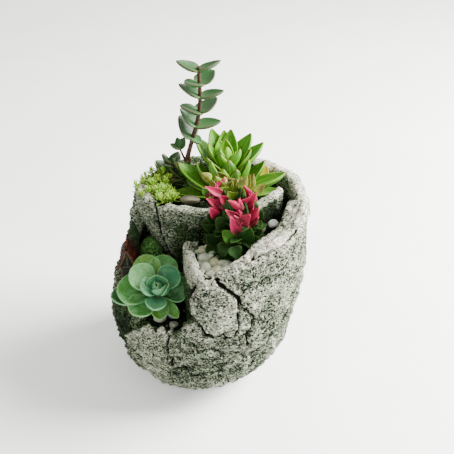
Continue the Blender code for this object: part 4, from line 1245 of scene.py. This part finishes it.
def make_tall_plant():
    finish = leaf_finish(
        "dull_green_leaf", (0.040, 0.12, 0.030), (0.065, 0.036, 0.016), (0.065, 0.034, 0.018),
        root_length=0.4, edge_width=0.24, tip_length=0.10, mottle=0.10, roughness=0.5,
    )
    wood = bark()
    heart = leaf_pattern("heart", 19, 12, 3.2, HEART, bend=0.16, cup=0.34, tip_curl=0.02)
    rng = random.Random(8)
    leaves, stems = [], []

    def pairs(line, table, shades):
        for position, *pair in table:
            for azimuth, elevation, length, width in pair:
                place = aim(point_along(line, position), azimuth, elevation, rng.uniform(-8, 8))
                colour = varied(rng.choice(shades), rng)
                leaves.append(grown(heart, place, colour, (length / 19, width / 12, 0.9)))

    pairs(TALL_STEM, TALL_PAIRS, (SAGE, SAGE, SAGE_LIGHT))
    for azimuth, elevation, length, width in SIDE_LEAVES:
        place = aim(SIDE_SHOOT[-1], azimuth, elevation)
        leaves.append(grown(heart, place, varied(SAGE_LIGHT, rng), (length / 19, width / 12, 0.7)))
    stems.append(stem("tall_stem", TALL_STEM, (2.0, 1.25), BROWN_STEM, 0.3))
    stems.append(stem("side_stem", SIDE_SHOOT, (1.1, 0.8), BROWN_STEM))
    for height, azimuth, elevation, length, width in BASE_LEAVES:
        place = aim((-10, 34, height), azimuth, elevation, rng.uniform(-10, 10))
        leaves.append(grown(heart, place, varied(BOTTLE, rng), (length / 19, width / 12, 0.9)))
    finish_piece(join("tall_plant_leaves", leaves), finish, "dull_green_leaf", "tall_stem_plant")
    leaves = []
    pairs(LOW_SHOOT, LOW_PAIRS, (BOTTLE, BOTTLE, SAGE))
    stems.append(stem("low_stem", LOW_SHOOT, (1.5, 1.1), BROWN_STEM))
    finish_piece(join("low_shoot_leaves", leaves), finish, "dull_green_leaf", "low_shoot")
    finish_piece(join("brown_stems", stems), wood, "dull_green_leaf")
    remove(heart)


# Red crassulas

RED_STEMS = (
    ("left", (17, -25), (17, -22), 184, 20),
    ("middle", (33, -37), (34, -34), 180, 65),
    ("right", (46, -31), (42, -27), 180, 30),
    ("back", (31, -25), (29, -16), 186, 0),
)
POCKET_LEFT, POCKET_RIGHT = 129, 146
BOWL_FACE, BOWL_WALL_TOP = -17.5, 162  # the wall behind the stems: its y and its height
MAGENTA, PINK, WINE = (0.22, 0.004, 0.032), (0.32, 0.010, 0.055), (0.08, 0.004, 0.010)
MOSSY, FIR, BRIGHT = (0.009, 0.044, 0.004), (0.005, 0.020, 0.0015), (0.038, 0.115, 0.010)
OLIVE, RUSTY, STRAW = (0.095, 0.19, 0.012), (0.060, 0.048, 0.008), (0.42, 0.48, 0.15)
# Leaves that show at the front of each stem, as (root, tip, width, colour)
HEAD_LEAVES = {
    "left": (
        ((20, -24, 184), (7, -27, 193), 6.5, PINK), ((19, -26, 175), (8, -29, 184), 6.5, MAGENTA),
        ((24, -25, 178), (18, -27, 185), 7.5, MAGENTA), ((17, -28, 167), (11, -31, 178), 8, PINK),
        ((20, -23, 180), (13, -25, 188), 6, WINE), ((22, -26, 170), (17, -28, 178), 6, WINE),
    ),
    "middle": (
        ((36, -36, 178), (25, -38, 187), 7, MAGENTA), ((33, -38, 170), (22, -40, 182), 7.5, WINE),
        ((33, -41, 162), (26, -43, 179), 9, PINK), ((37, -41, 171), (43, -43, 180), 8.5, MAGENTA),
        ((34, -42, 168), (30, -44, 178), 6, WINE), ((38, -40, 166), (40, -42, 174), 6, MAGENTA),
    ),
    "right": (
        ((39, -29, 177), (48, -31, 191), 7.5, PINK), ((42, -33, 163), (49, -35, 180), 8, MAGENTA),
        ((39, -30, 172), (46, -32, 182), 7, WINE), ((42, -34, 161), (49, -36, 171), 6, WINE),
    ),
    "back": (
        ((31, -21, 175), (24, -23, 187), 12, OLIVE), ((31, -15, 182), (26, -17, 193), 13, RUSTY),
        ((21, -17, 184), (16, -19, 196), 9, OLIVE), ((24, -16, 184), (23, -18, 195), 6, STRAW),
        ((22, -10, 187), (17, -12, 197), 9, RUSTY), ((38, -17, 179), (34, -19, 190), 9, OLIVE),
        ((41, -12, 180), (45, -14, 195), 9, RUSTY), ((33, -20, 178), (39, -22, 186), 8, STRAW),
        ((39, -24, 170), (36, -26, 181), 9, OLIVE), ((12, -8, 186), (5, -10, 193), 8, RUSTY),
        ((26, -18, 180), (18, -21, 188), 10, OLIVE), ((36, -14, 182), (40, -16, 194), 9, OLIVE),
    ),
}
FOOT_LEAVES = (
    ((24, -34, 161), (16, -36, 172), 13, FIR), ((29, -40, 154), (20, -42, 165), 11, BRIGHT),
    ((39, -38, 149), (43, -40, 167), 12, MOSSY), ((17, -34, 147), (8, -36, 156), 11, FIR),
    ((30, -46, 151), (33, -50, 143), 11, MOSSY), ((43, -33, 152), (53, -35, 160), 9, FIR),
    ((42, -38, 150), (50, -40, 157), 9, MOSSY), ((14, -26, 156), (5, -28, 162), 11, FIR),
    ((16, -27, 163), (9, -29, 170), 10, FIR), ((10, -22, 183), (6, -24, 190), 6, BRIGHT),
    ((26, -42, 145), (17, -44, 154), 12, FIR), ((48, -29, 166), (52, -31, 175), 8, MOSSY),
)
OUTWARD, INWARD = (0, -0.8, 0.5), (0, 0.8, -0.2)


def pocket_top(x):
    t = min(max((x - 30) / 32, 0), 1)
    return POCKET_LEFT + (POCKET_RIGHT - POCKET_LEFT) * t * t * (3 - 2 * t)


def red_line(foot, head, top):
    """The stem leans from its foot to its head."""
    low = pocket_top(foot[0]) - 5
    line = []
    for i in range(6):
        t = i / 5
        lean = t * t * (3 - 2 * t)
        x, y = foot[0] + (head[0] - foot[0]) * lean, foot[1] + (head[1] - foot[1]) * lean
        line.append((x, y, low + (top - low) * t))
    return line


def stacked(pattern, line, first, count, azimuth, length, width, elevations, colours, rng, pitch):
    """Pairs of scale-like leaves, each pair turned across the one below."""
    low, top = line[0][2], line[-1][2]
    parts = []
    for i in range(count):
        z = top - first - i * pitch
        if z < low + 4:
            break
        root = point_along(line, (z - low) / (top - low) * (len(line) - 1))
        turn = azimuth + 90 * (i % 2) + 11 * i
        size = 1 + 0.07 * i
        for facing in (0, 180):
            elevation = elevations[0] + (elevations[1] - elevations[0]) * i / max(count - 1, 1)
            backward = length * size * math.sin(math.radians(turn + facing))
            room = BOWL_FACE - root.y
            if z < BOWL_WALL_TOP and backward > room:
                elevation = math.degrees(math.acos(room / backward))
            way = turn + facing + rng.uniform(-6, 6)
            place = aim(root, way, elevation, rng.uniform(-7, 7))
            scale = (length * size / 11, width * size / 8, size)
            parts.append(grown(pattern, place, varied(rng.choice(colours), rng), scale))
    return parts


def head_leaves(bract, head, table, rng):
    """The leaves at a head's front, each with its like turned round the stem at the back."""
    leaves = []
    for root, tip, wide, colour in table:
        facing = rng.choice((OUTWARD, INWARD))
        for side in (1, -1):
            ends = [
                (head[0] + side * (x - head[0]), head[1] + side * (y - head[1]), z)
                for x, y, z in (root, tip)
            ]
            way = (facing[0], side * facing[1], facing[2])
            leaves.append(laid(bract, 11, 8, *ends, wide, varied(colour, rng), way))
    return leaves


# Leafy side shoots between the stems, as (foot, head, top, azimuth)
SIDE_SHOOTS = (
    ((24, -33), (23, -30), 162, 10), ((38, -33), (38, -32), 170, 40), ((44, -27), (45, -25), 168, 80),
    ((24, -25), (23, -22), 174, 35), ((28, -33), (27, -31), 172, 60), ((36, -24), (35, -21), 178, 10),
)


def make_crassulas():
    pink = leaf_finish(
        "crassula_pink", (0.035, 0.008, 0.004), (0.40, 0.022, 0.075), (0.46, 0.035, 0.10),
        root_length=0.5, edge_width=0.14, tip_length=0.20, mottle=0.30, roughness=0.6, shine=0.15,
    )
    green = leaf_finish(
        "crassula_green", (0.005, 0.016, 0.002), (0.032, 0.080, 0.010), (0.03, 0.05, 0.008),
        root_length=0.4, edge_width=0.10, tip_length=0.08, mottle=0.3, roughness=0.6, shine=0.15,
    )
    olive = leaf_finish(
        "crassula_young", (0.16, 0.27, 0.02), (0.20, 0.24, 0.03), (0.11, 0.06, 0.015),
        root_length=0.4, edge_width=0.16, tip_length=0.22, mottle=0.35, roughness=0.6, shine=0.2,
    )
    scale = leaf_pattern("scale", 11, 8, 1.7, SCALE, bend=0.16, cup=0.24, fold=0.20, rows=8, columns=4)
    bract = leaf_pattern("bract", 11, 8, 1.3, BRACT, bend=0.16, cup=0.22, fold=0.28, rows=8, columns=4)
    rng = random.Random(9)
    for name, foot, head, top, azimuth in RED_STEMS:
        line = red_line(foot, head, top)
        shades = (OLIVE, RUSTY, OLIVE) if name == "back" else (MAGENTA, WINE, PINK)
        tips = stacked(bract, line, 2, 5, azimuth, 9, 5.5, (74, 52), shades, rng, 4.4)
        tips += head_leaves(bract, head, HEAD_LEAVES[name], rng)
        finish = olive if name == "back" else pink
        piece = join(f"crassula_{name}_head", tips)
        finish_piece(piece, finish, "crassula_pink", f"crassula_{name}_tip")
        shades = (MOSSY, FIR, MOSSY)
        leaves = stacked(scale, line, 22, 3, azimuth + 45, 14, 9.5, (78, 66), shades, rng, 5.5)
        leaves += stacked(scale, line, 26, 6, azimuth, 14, 10, (0, -34), (MOSSY, FIR), rng, 5)
        leaves.append(stem("red_stem", line[:5], (1.7, 1.5), (0.10, 0.05, 0.03)))
        piece = join(f"crassula_{name}_leaves", leaves)
        finish_piece(piece, green, "crassula_green", f"crassula_{name}_foot")
    leaves = [
        laid(scale, 11, 8, root, tip, wide, varied(colour, rng), OUTWARD)
        for root, tip, wide, colour in FOOT_LEAVES
    ]
    for foot, head, top, azimuth in SIDE_SHOOTS:
        line = red_line(foot, head, top)
        leaves += stacked(scale, line, 0, 3, azimuth, 13, 8.5, (80, 66), (MOSSY, FIR), rng, 5)
        shades = (FIR, FIR, MOSSY)
        leaves += stacked(scale, line, 8, 4, azimuth + 45, 13, 9, (4, -32), shades, rng, 5)
        leaves.append(stem("side_shoot", line, (1.4, 1.2), (0.08, 0.05, 0.02)))
    finish_piece(join("crassula_side_shoots", leaves), green, "crassula_green")
    remove(scale, bract)


# Pebbles and stones

PEBBLES = (
    (7.2, -26, 5), (13.5, -31.5, 5), (7.6, -35, 5.6), (15, -40.5, 5.8), (9.4, -45.5, 5.2),
    (17, -51, 5.6), (23.5, -43.5, 5.4), (25, -52.5, 5.2), (30, -46.5, 4.6), (12.6, -54.5, 4.4),
)
SMALL_PEBBLES = (
    (4.8, -30.5, 3.0), (4.6, -40, 3.2), (11, -38.6, 3.0), (19.6, -46, 3.0), (20, -36.5, 3.4),
    (6.4, -50, 3.0), (21, -57, 3.2), (29, -52.5, 3.2), (26, -39, 3.0), (10, -30, 2.8), (33.5, -50, 3.0),
    (17.5, -33, 2.6), (5.6, -21.5, 3.2), (36, -45, 3.0), (2.6, -25, 2.8), (10.5, -21, 4.0),
    (14.5, -26, 3.6), (4, -34.5, 2.6), (9.5, -40.5, 2.6), (19, -40, 2.8), (16, -21.5, 3.0),
)
PEBBLE_COLOURS = (
    (0.50, 0.56, 0.40), (0.40, 0.48, 0.33), (0.66, 0.70, 0.54), (0.48, 0.60, 0.55),
    (0.50, 0.50, 0.31),
)
LEDGE_STONES = (
    ("stone_ledge_white", (-27.2, -48.5), (6.0, 4.4, 4.0), (0.55, 0.56, 0.44)),
    ("stone_ledge_right", (-16.5, -46), (5.4, 4.2, 4.4), (0.36, 0.44, 0.42)),
    ("stone_ledge_small", (-16.6, -55), (3.8, 3.4, 3.2), (0.32, 0.32, 0.25)),
)
RIGHT_PEBBLES = ((50.5, -14.5, 4.6), (61, -13, 4.2))
BARK_STONE = ((-5, 6.6), (8.5, 4.4, 4.2), (0.115, 0.10, 0.06))
WHITE = (0.86, 0.86, 0.80)


def set_stone(name, place, size, colour, seed, rng):
    piece = stone(name, size, seed)
    tint(piece, colour)
    return turned(piece, place, rng, 25)


def make_stones():
    finish = pebble()
    rng = random.Random(10)
    bed = []
    for i, (x, y, r) in enumerate(PEBBLES + SMALL_PEBBLES):
        place, size = (x, y, pocket_top(x) + 0.62 * r), (r, r * 0.9, r * 0.78)
        bed.append(set_stone("pebble", place, size, rng.choice(PEBBLE_COLOURS), 60 + i, rng))
    finish_piece(join("gravel_bed", bed), finish, "white_pebble", "pebble_bed")
    for i, (x, y, r) in enumerate(RIGHT_PEBBLES):
        place, size = (x, y, pocket_top(x + r * 0.5) + 0.7 * r), (r, r, r * 0.8)
        piece = set_stone(f"white_pebble_{i + 1}", place, size, WHITE, 90 + i, rng)
        finish_piece(piece, finish, "white_pebble", f"pebble_right_{i + 1}")
    for i, (node, (x, y), size, colour) in enumerate(LEDGE_STONES):
        place = (x, y, foot_of(node) + 0.5 * size[2])
        piece = set_stone(node + "_worn", place, size, colour, 95 + i, rng)
        finish_piece(piece, finish, "grey_stone", node)
    (x, y), size, colour = BARK_STONE
    place = (x, y, foot_of("bark_stone") + 0.55 * size[2])
    piece = set_stone("bowl_stone", place, size, colour, 99, rng)
    finish_piece(piece, finish, "grey_stone", "bark_stone")


# Moss and sedum

MOSS_BALL = ((-36.5, 4), 10.5, 15)
MOSS_TUFTS = 520
# The golden angle from one tuft or stem to the next spreads them evenly
GOLDEN_TURN, GOLDEN_DEGREES = 2.39996, 137.5
# Tufts of sedum, as (x, y), stems, spread, length
SEDUM_TUFTS = (
    ((-38, 17), 9, 6.5, 12.5), ((-27, 22), 8, 6, 10), ((-22, 9), 8, 4.5, 8), ((-31, 32), 8, 6, 14.5),
    ((-29, 12), 4, 3.5, 7),
)
YELLOW_GREEN, SPRING, MEADOW = (0.10, 0.27, 0.006), (0.24, 0.44, 0.020), (0.014, 0.058, 0.003)


def make_moss_ball():
    """A cushion of moss: a lumpy dome with short tufts all over."""
    (x, y), r, tall = MOSS_BALL
    ground = foot_of("moss_ball")
    centre = Vector((x, y, ground + 0.9 * tall))
    deselect()
    bpy.ops.mesh.primitive_ico_sphere_add(subdivisions=5, radius=1)
    dome = bpy.context.object
    dome_size, tuft_reach = (r * 0.9, r * 0.9, tall * 0.9), (r * 0.93, r * 0.93, tall * 0.93)
    for vertex in dome.data.vertices:
        swell = 1 + 0.07 * noise.noise(vertex.co * 3) + 0.05 * noise.noise(vertex.co * 9)
        point = centre + Vector([s * c * swell for s, c in zip(dome_size, vertex.co)])
        point.z = max(point.z, ground)
        vertex.co = point * MM
    mark(dome, "tip", np.zeros(len(dome.data.vertices)))
    deselect()
    bpy.ops.mesh.primitive_cone_add(vertices=5, radius1=0.5, radius2=0.1, depth=1.6, location=(0, 0, 0))
    tuft = bpy.context.object
    heights = np.array([v.co.z for v in tuft.data.vertices])
    tuft.data.transform(Matrix.Diagonal((MM, MM, MM, 1)))
    mark(tuft, "tip", heights > 0)
    rng = random.Random(12)
    parts = [dome]
    for i in range(MOSS_TUFTS):
        up = 1 - 1.5 * (i + 0.5) / MOSS_TUFTS
        turn = GOLDEN_TURN * i
        flat = math.sqrt(1 - up * up)
        out = Vector((flat * math.cos(turn), flat * math.sin(turn), up))
        place = centre + Vector([s * c for s, c in zip(tuft_reach, out)])
        lean = (out + Vector([rng.uniform(-0.4, 0.4) for _ in range(3)])).normalized()
        part = tuft.copy()
        part.data = tuft.data.copy()
        bpy.context.scene.collection.objects.link(part)
        size = rng.uniform(0.7, 1.25)
        turn_up = lean.to_track_quat("Z", "Y").to_matrix().to_4x4()
        part.data.transform(Matrix.Translation(place * MM) @ turn_up @ Matrix.Scale(size, 4))
        parts.append(part)
    remove(tuft)
    return finish_piece(join("moss_cushion", parts), moss(), "dark_moss", "moss_ball")


def make_sedum():
    """Feathery sedum: short leaning stems with whorls of narrow leaves."""
    finish = leaf_finish(
        "yellow_sedum", (0.018, 0.06, 0.004), (0.30, 0.50, 0.05), (0.38, 0.58, 0.09),
        root_length=0.5, edge_width=0.1, tip_length=0.3, mottle=0.12, roughness=0.5,
    )
    needle = leaf_pattern(
        "needle", 7.4, 1.15, 0.7, NEEDLE, bend=0.15, cup=0.2, rows=4, columns=2, smooth=0, sink=0.2,
    )
    rng = random.Random(13)
    ground = foot_of("yellow_sedum")
    parts = []
    for (x, y), stems, spread, length in SEDUM_TUFTS:
        for i in range(stems):
            out = math.sqrt((i + 0.5) / stems)
            turn = GOLDEN_DEGREES * i + rng.uniform(-14, 14)
            a = math.radians(turn)
            foot = Vector((x + spread * out * math.cos(a), y + spread * out * math.sin(a), ground))
            lean = Vector((math.cos(a) * out * 0.8, math.sin(a) * out * 0.8, 1)).normalized()
            head = foot + lean * length * rng.uniform(0.75, 1.1)
            line = [foot, foot.lerp(head, 0.5), head]
            parts.append(stem("sedum_stem", line, (0.6, 0.5), (0.16, 0.26, 0.04)))
            for ring in range(6):
                share = 0.35 + 0.13 * ring
                for leaf in range(4):
                    azimuth = 90 * leaf + 40 * ring + turn
                    shades = (YELLOW_GREEN, SPRING) if ring > 2 else (MEADOW, MEADOW, YELLOW_GREEN)
                    colour = varied(rng.choice(shades), rng, 0.2)
                    place = aim(foot.lerp(head, share), azimuth, 4 + 12 * ring + rng.uniform(-12, 12))
                    size = rng.uniform(0.7, 1.15) * (1 - 0.07 * ring)
                    parts.append(grown(needle, place, colour, (size, 1, 1)))
    remove(needle)
    return finish_piece(join("feathery_sedum", parts), finish, "yellow_sedum", "yellow_sedum")


# Cottage


def plank(name, low, high, bevel=0.25):
    """A board or block between two corners, with worn edges."""
    deselect()
    middle = [(a + b) / 2 * MM for a, b in zip(low, high)]
    size = [(b - a) * MM for a, b in zip(low, high)]
    bpy.ops.mesh.primitive_cube_add(size=1, location=middle, scale=size)
    piece = bpy.context.object
    piece.name = name
    bpy.ops.object.transform_apply(location=True, rotation=True, scale=True)
    step = piece.modifiers.new("worn", "BEVEL")
    step.width = bevel * MM
    step.segments = 2
    return apply_modifiers(piece)


EAVE = 15  # height of the cottage's eaves above its foot
TILE_ROWS, TILE_COLUMNS = 7, 6


def measure_cottage():
    """The cottage's measures from its walls and roof in the frame."""
    low, high = box_of("cottage_walls")
    x, half = (low.x + high.x) / 2, (high.x - low.x) / 2
    eave = low.z + EAVE
    rise = high.z - eave
    return SimpleNamespace(
        low=low, x=x, half=half, eave=eave, rise=rise, roof=box_of("cottage_roof"),
        steep=math.atan2(rise, half), run=math.hypot(rise, half),
    )


def cottage_posts(house):
    """Corner posts, beam and king post on the front wall."""
    x, half, eave, low = house.x, house.half, house.eave, house.low
    front, back = low.y - 0.3, low.y + 0.9
    posts = []
    for side in (-1, 1):
        edge = x + side * (half - 0.8)
        posts.append(plank("post", (edge - 0.8, front, low.z), (edge + 0.8, back, eave), 0.2))
    posts.append(plank("beam", (x - half, front, eave - 1.4), (x + half, back, eave), 0.2))
    king_top = (x + 0.6, back, eave + house.rise * 0.7)
    posts.append(plank("king_post", (x - 0.6, front, eave), king_top, 0.2))
    return join("cottage_posts", posts)


def cottage_tiles(house):
    """Rows of tiles on both slopes, and a ridge with a raised block at each end."""
    x, steep, run = house.x, house.steep, house.run
    low, high = house.roof
    wide = (high.y - low.y) / TILE_COLUMNS
    half_long, half_wide = run / TILE_ROWS * 0.62, wide * 0.46
    tiles = []
    for side in (-1, 1):
        lean = Matrix.Rotation(side * (steep + 0.10), 4, "Y")
        for row in range(TILE_ROWS):
            down = run * (row + 0.5) / TILE_ROWS * 1.12
            for column in range(TILE_COLUMNS):
                at = low.y + (column + 0.5 + 0.25 * (row % 2)) * wide
                tile = plank("tile", (-half_long, -half_wide, -0.4), (half_long, half_wide, 0.4))
                spot = Vector((
                    x + side * (down * math.cos(steep) + 0.9), min(at, high.y - half_wide),
                    house.eave + house.rise - down * math.sin(steep) + 1.3,
                ))
                tile.data.transform(Matrix.Translation(spot * MM) @ lean)
                tiles.append(tile)
    for end in (low.y + 0.5, high.y - 0.5):
        tiles.append(plank("ridge", (x - 0.9, end - 1, high.z - 3.4), (x + 0.9, end + 1, high.z - 0.8)))
    tiles.append(plank("ridge", (x - 0.8, low.y, high.z - 3.0), (x + 0.8, high.y, high.z - 1.2)))
    return join("cottage_tiles", tiles)


def cottage_verges(house):
    """Boards along the slopes at both gables."""
    low, high = house.roof
    long = house.run * 0.56
    verges = []
    for end in (low.y, high.y - 1.0):
        for side in (-1, 1):
            board = plank("verge", (-long, 0, -0.6), (long, 1.0, 0.6), 0.2)
            lean = Matrix.Rotation(side * house.steep, 4, "Y")
            level = house.eave + house.rise * 0.44 + 0.8
            spot = Vector((house.x + side * house.half * 0.56, end, level))
            board.data.transform(Matrix.Translation(spot * MM) @ lean)
            verges.append(board)
    return join("cottage_verges", verges)


def cottage_door_boards():
    """Four upright boards with a rounded top line, on a sill."""
    low, high = box_of("cottage_door")
    boards = []
    for i in range(4):
        left = low.x + (high.x - low.x) * i / 4
        top = high.z - 0.5 * abs(i - 1.5)
        boards.append(plank("board", (left + 0.05, low.y, low.z), (left + 1.05, high.y, top), 0.15))
    boards.append(plank("sill", low, (high.x, low.y + 0.5, low.z + 0.7), 0.15))
    return join("cottage_door_boards", boards)


def make_cottage():
    tile_red = painted_clay("cottage_roof", (0.030, 0.006, 0.003), (0.21, 0.036, 0.014), 4)
    mossy = painted_clay("turret_roof", (0.008, 0.024, 0.006), (0.050, 0.080, 0.026), 3)
    dark = painted_clay("cottage_wall", (0.008, 0.017, 0.008), (0.025, 0.038, 0.018))
    pale = painted_clay("cottage_trim", (0.075, 0.045, 0.032), (0.17, 0.12, 0.09))
    olive = painted_clay("turret_stone", (0.018, 0.024, 0.009), (0.05, 0.052, 0.022))
    house = measure_cottage()
    walls = copy_of("cottage_walls", "cottage_house")
    step = walls.modifiers.new("worn", "BEVEL")
    step.width, step.segments = 0.4 * MM, 2
    finish_piece(apply_modifiers(walls), dark, "cottage_wall", "cottage_walls")
    finish_piece(cottage_posts(house), pale, "cottage_trim")
    finish_piece(cottage_tiles(house), tile_red, "cottage_roof", "cottage_roof")
    finish_piece(cottage_verges(house), pale, "cottage_trim")
    finish_piece(cottage_door_boards(), pale, "cottage_trim", "cottage_door")
    finish_piece(turret_blocks(), olive, "turret_stone", "turret_walls")
    finish_piece(turret_shingles(), mossy, "cottage_roof", "turret_roof")


COURSES, BLOCKS_AROUND = 9, 9
SHINGLE_RINGS = 6


def turret_blocks():
    """Courses of rough blocks round the turret's core."""
    low, high = box_of("turret_walls")
    x, y = (low.x + high.x) / 2, (low.y + high.y) / 2
    radius = (high.x - low.x) / 2
    core = radius * 0.55
    rng = random.Random(14)
    blocks = [plank("core", (x - core, y - core, low.z), (x + core, y + core, high.z), 0.8)]
    tall = (high.z - low.z) / COURSES
    half_wide, half_tall = math.pi * (radius - 1) / BLOCKS_AROUND * 0.94, tall * 0.46
    for course in range(COURSES):
        for i in range(BLOCKS_AROUND):
            turn = math.radians(360 * (i + 0.5 * (course % 2)) / BLOCKS_AROUND)
            reach = radius - 1.3 - rng.uniform(0, 0.25) - 0.04 * course
            block = plank("block", (-1.3, -half_wide, -half_tall), (1.2, half_wide, half_tall), 0.35)
            spot = Vector((
                x + reach * math.cos(turn), y + reach * math.sin(turn), low.z + (course + 0.5) * tall,
            ))
            block.data.transform(Matrix.Translation(spot * MM) @ Matrix.Rotation(turn, 4, "Z"))
            blocks.append(block)
    return join("turret_blocks", blocks)


def turret_shingles():
    """A cone of overlapping rings of shingles."""
    low, high = box_of("turret_roof")
    x, y = (low.x + high.x) / 2, (low.y + high.y) / 2
    tall = high.z - low.z
    rings = []
    for ring in range(SHINGLE_RINGS):
        share = ring / SHINGLE_RINGS
        reach = (high.x - low.x) / 2 * (1 - share) * 0.9 + 0.3
        deselect()
        bpy.ops.mesh.primitive_cone_add(
            vertices=14, radius1=(reach + 0.35) * MM, radius2=max(reach - 0.9, 0.2) * MM,
            depth=tall / SHINGLE_RINGS * 1.15 * MM, location=(0, 0, 0),
        )
        skirt = bpy.context.object
        spot = Vector((x, y, low.z + tall * (share + 0.5 / SHINGLE_RINGS)))
        skirt.data.transform(Matrix.Translation(spot * MM) @ Matrix.Rotation(0.2 * ring, 4, "Z"))
        step = skirt.modifiers.new("worn", "BEVEL")
        step.width, step.segments = 0.15 * MM, 2
        rings.append(apply_modifiers(skirt))
    return join("turret_shingles", rings)


# Floor, light and camera

LENS, DISTANCE, ELEVATION = 60, 605, 35
TARGET = (25, 0, 137)
LIT_PLACE = Vector((0.02, 0, 0.1))


def make_floor():
    deselect()
    bpy.ops.mesh.primitive_plane_add(size=12, location=(0, 0, -0.0003))
    floor = bpy.context.object
    floor.name = "floor"
    finish, tree, shader = start_finish("pale_floor", 0.6, Emission_Strength=0.3)
    clouds = grain(tree, here(tree), 90, 4, 0.6)
    colour = ramp(tree, clouds, ((0.35, (0.90, 0.90, 0.89)), (0.65, (0.95, 0.95, 0.95))))
    close_finish(tree, shader, colour)
    floor.data.materials.append(finish)


def add_light(name, place, size, power, colour):
    """A soft square light that faces the jar; place and size in metres."""
    lamp = bpy.data.lights.new(name, "AREA")
    lamp.size = size
    lamp.energy = power
    lamp.color = colour
    light = bpy.data.objects.new(name, lamp)
    bpy.context.scene.collection.objects.link(light)
    light.location = place
    towards = LIT_PLACE - Vector(place)
    light.rotation_euler = towards.to_track_quat("-Z", "Y").to_euler()


def make_lights():
    world = bpy.data.worlds.new("studio")
    world.use_nodes = True
    background = world.node_tree.nodes["Background"]
    background.inputs["Color"].default_value = (0.93, 0.95, 0.88, 1)
    background.inputs["Strength"].default_value = 1.15
    bpy.context.scene.world = world
    add_light("window", (0.95, 0.15, 0.75), 0.7, 105, (1.0, 0.985, 0.96))
    add_light("fill", (0.4, -1.1, 0.8), 0.9, 5, (0.97, 1.0, 0.96))


def make_camera():
    lens = bpy.data.cameras.new("camera")
    lens.lens = LENS
    camera = bpy.data.objects.new("camera", lens)
    bpy.context.scene.collection.objects.link(camera)
    up = math.radians(ELEVATION)
    away = Vector((0, -math.cos(up), math.sin(up))) * DISTANCE
    camera.location = (Vector(TARGET) + away) * MM
    camera.rotation_euler = (math.pi / 2 - up, 0, 0)
    bpy.context.scene.camera = camera


SOIL_FINISH = soil()

make_pot()
grounds = [make_soil(node) for node in SOILS]
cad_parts["soil_base"].data.materials.clear()
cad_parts["soil_base"].data.materials.append(SOIL_FINISH)
strew_crumbs(surface(grounds))
make_blue_rosette()
make_green_rosette()
make_dried_leaves()
make_yellow_leaf()
make_tall_plant()
make_crassulas()
make_stones()
make_moss_ball()
make_sedum()
make_cottage()
make_floor()
make_lights()
make_camera()
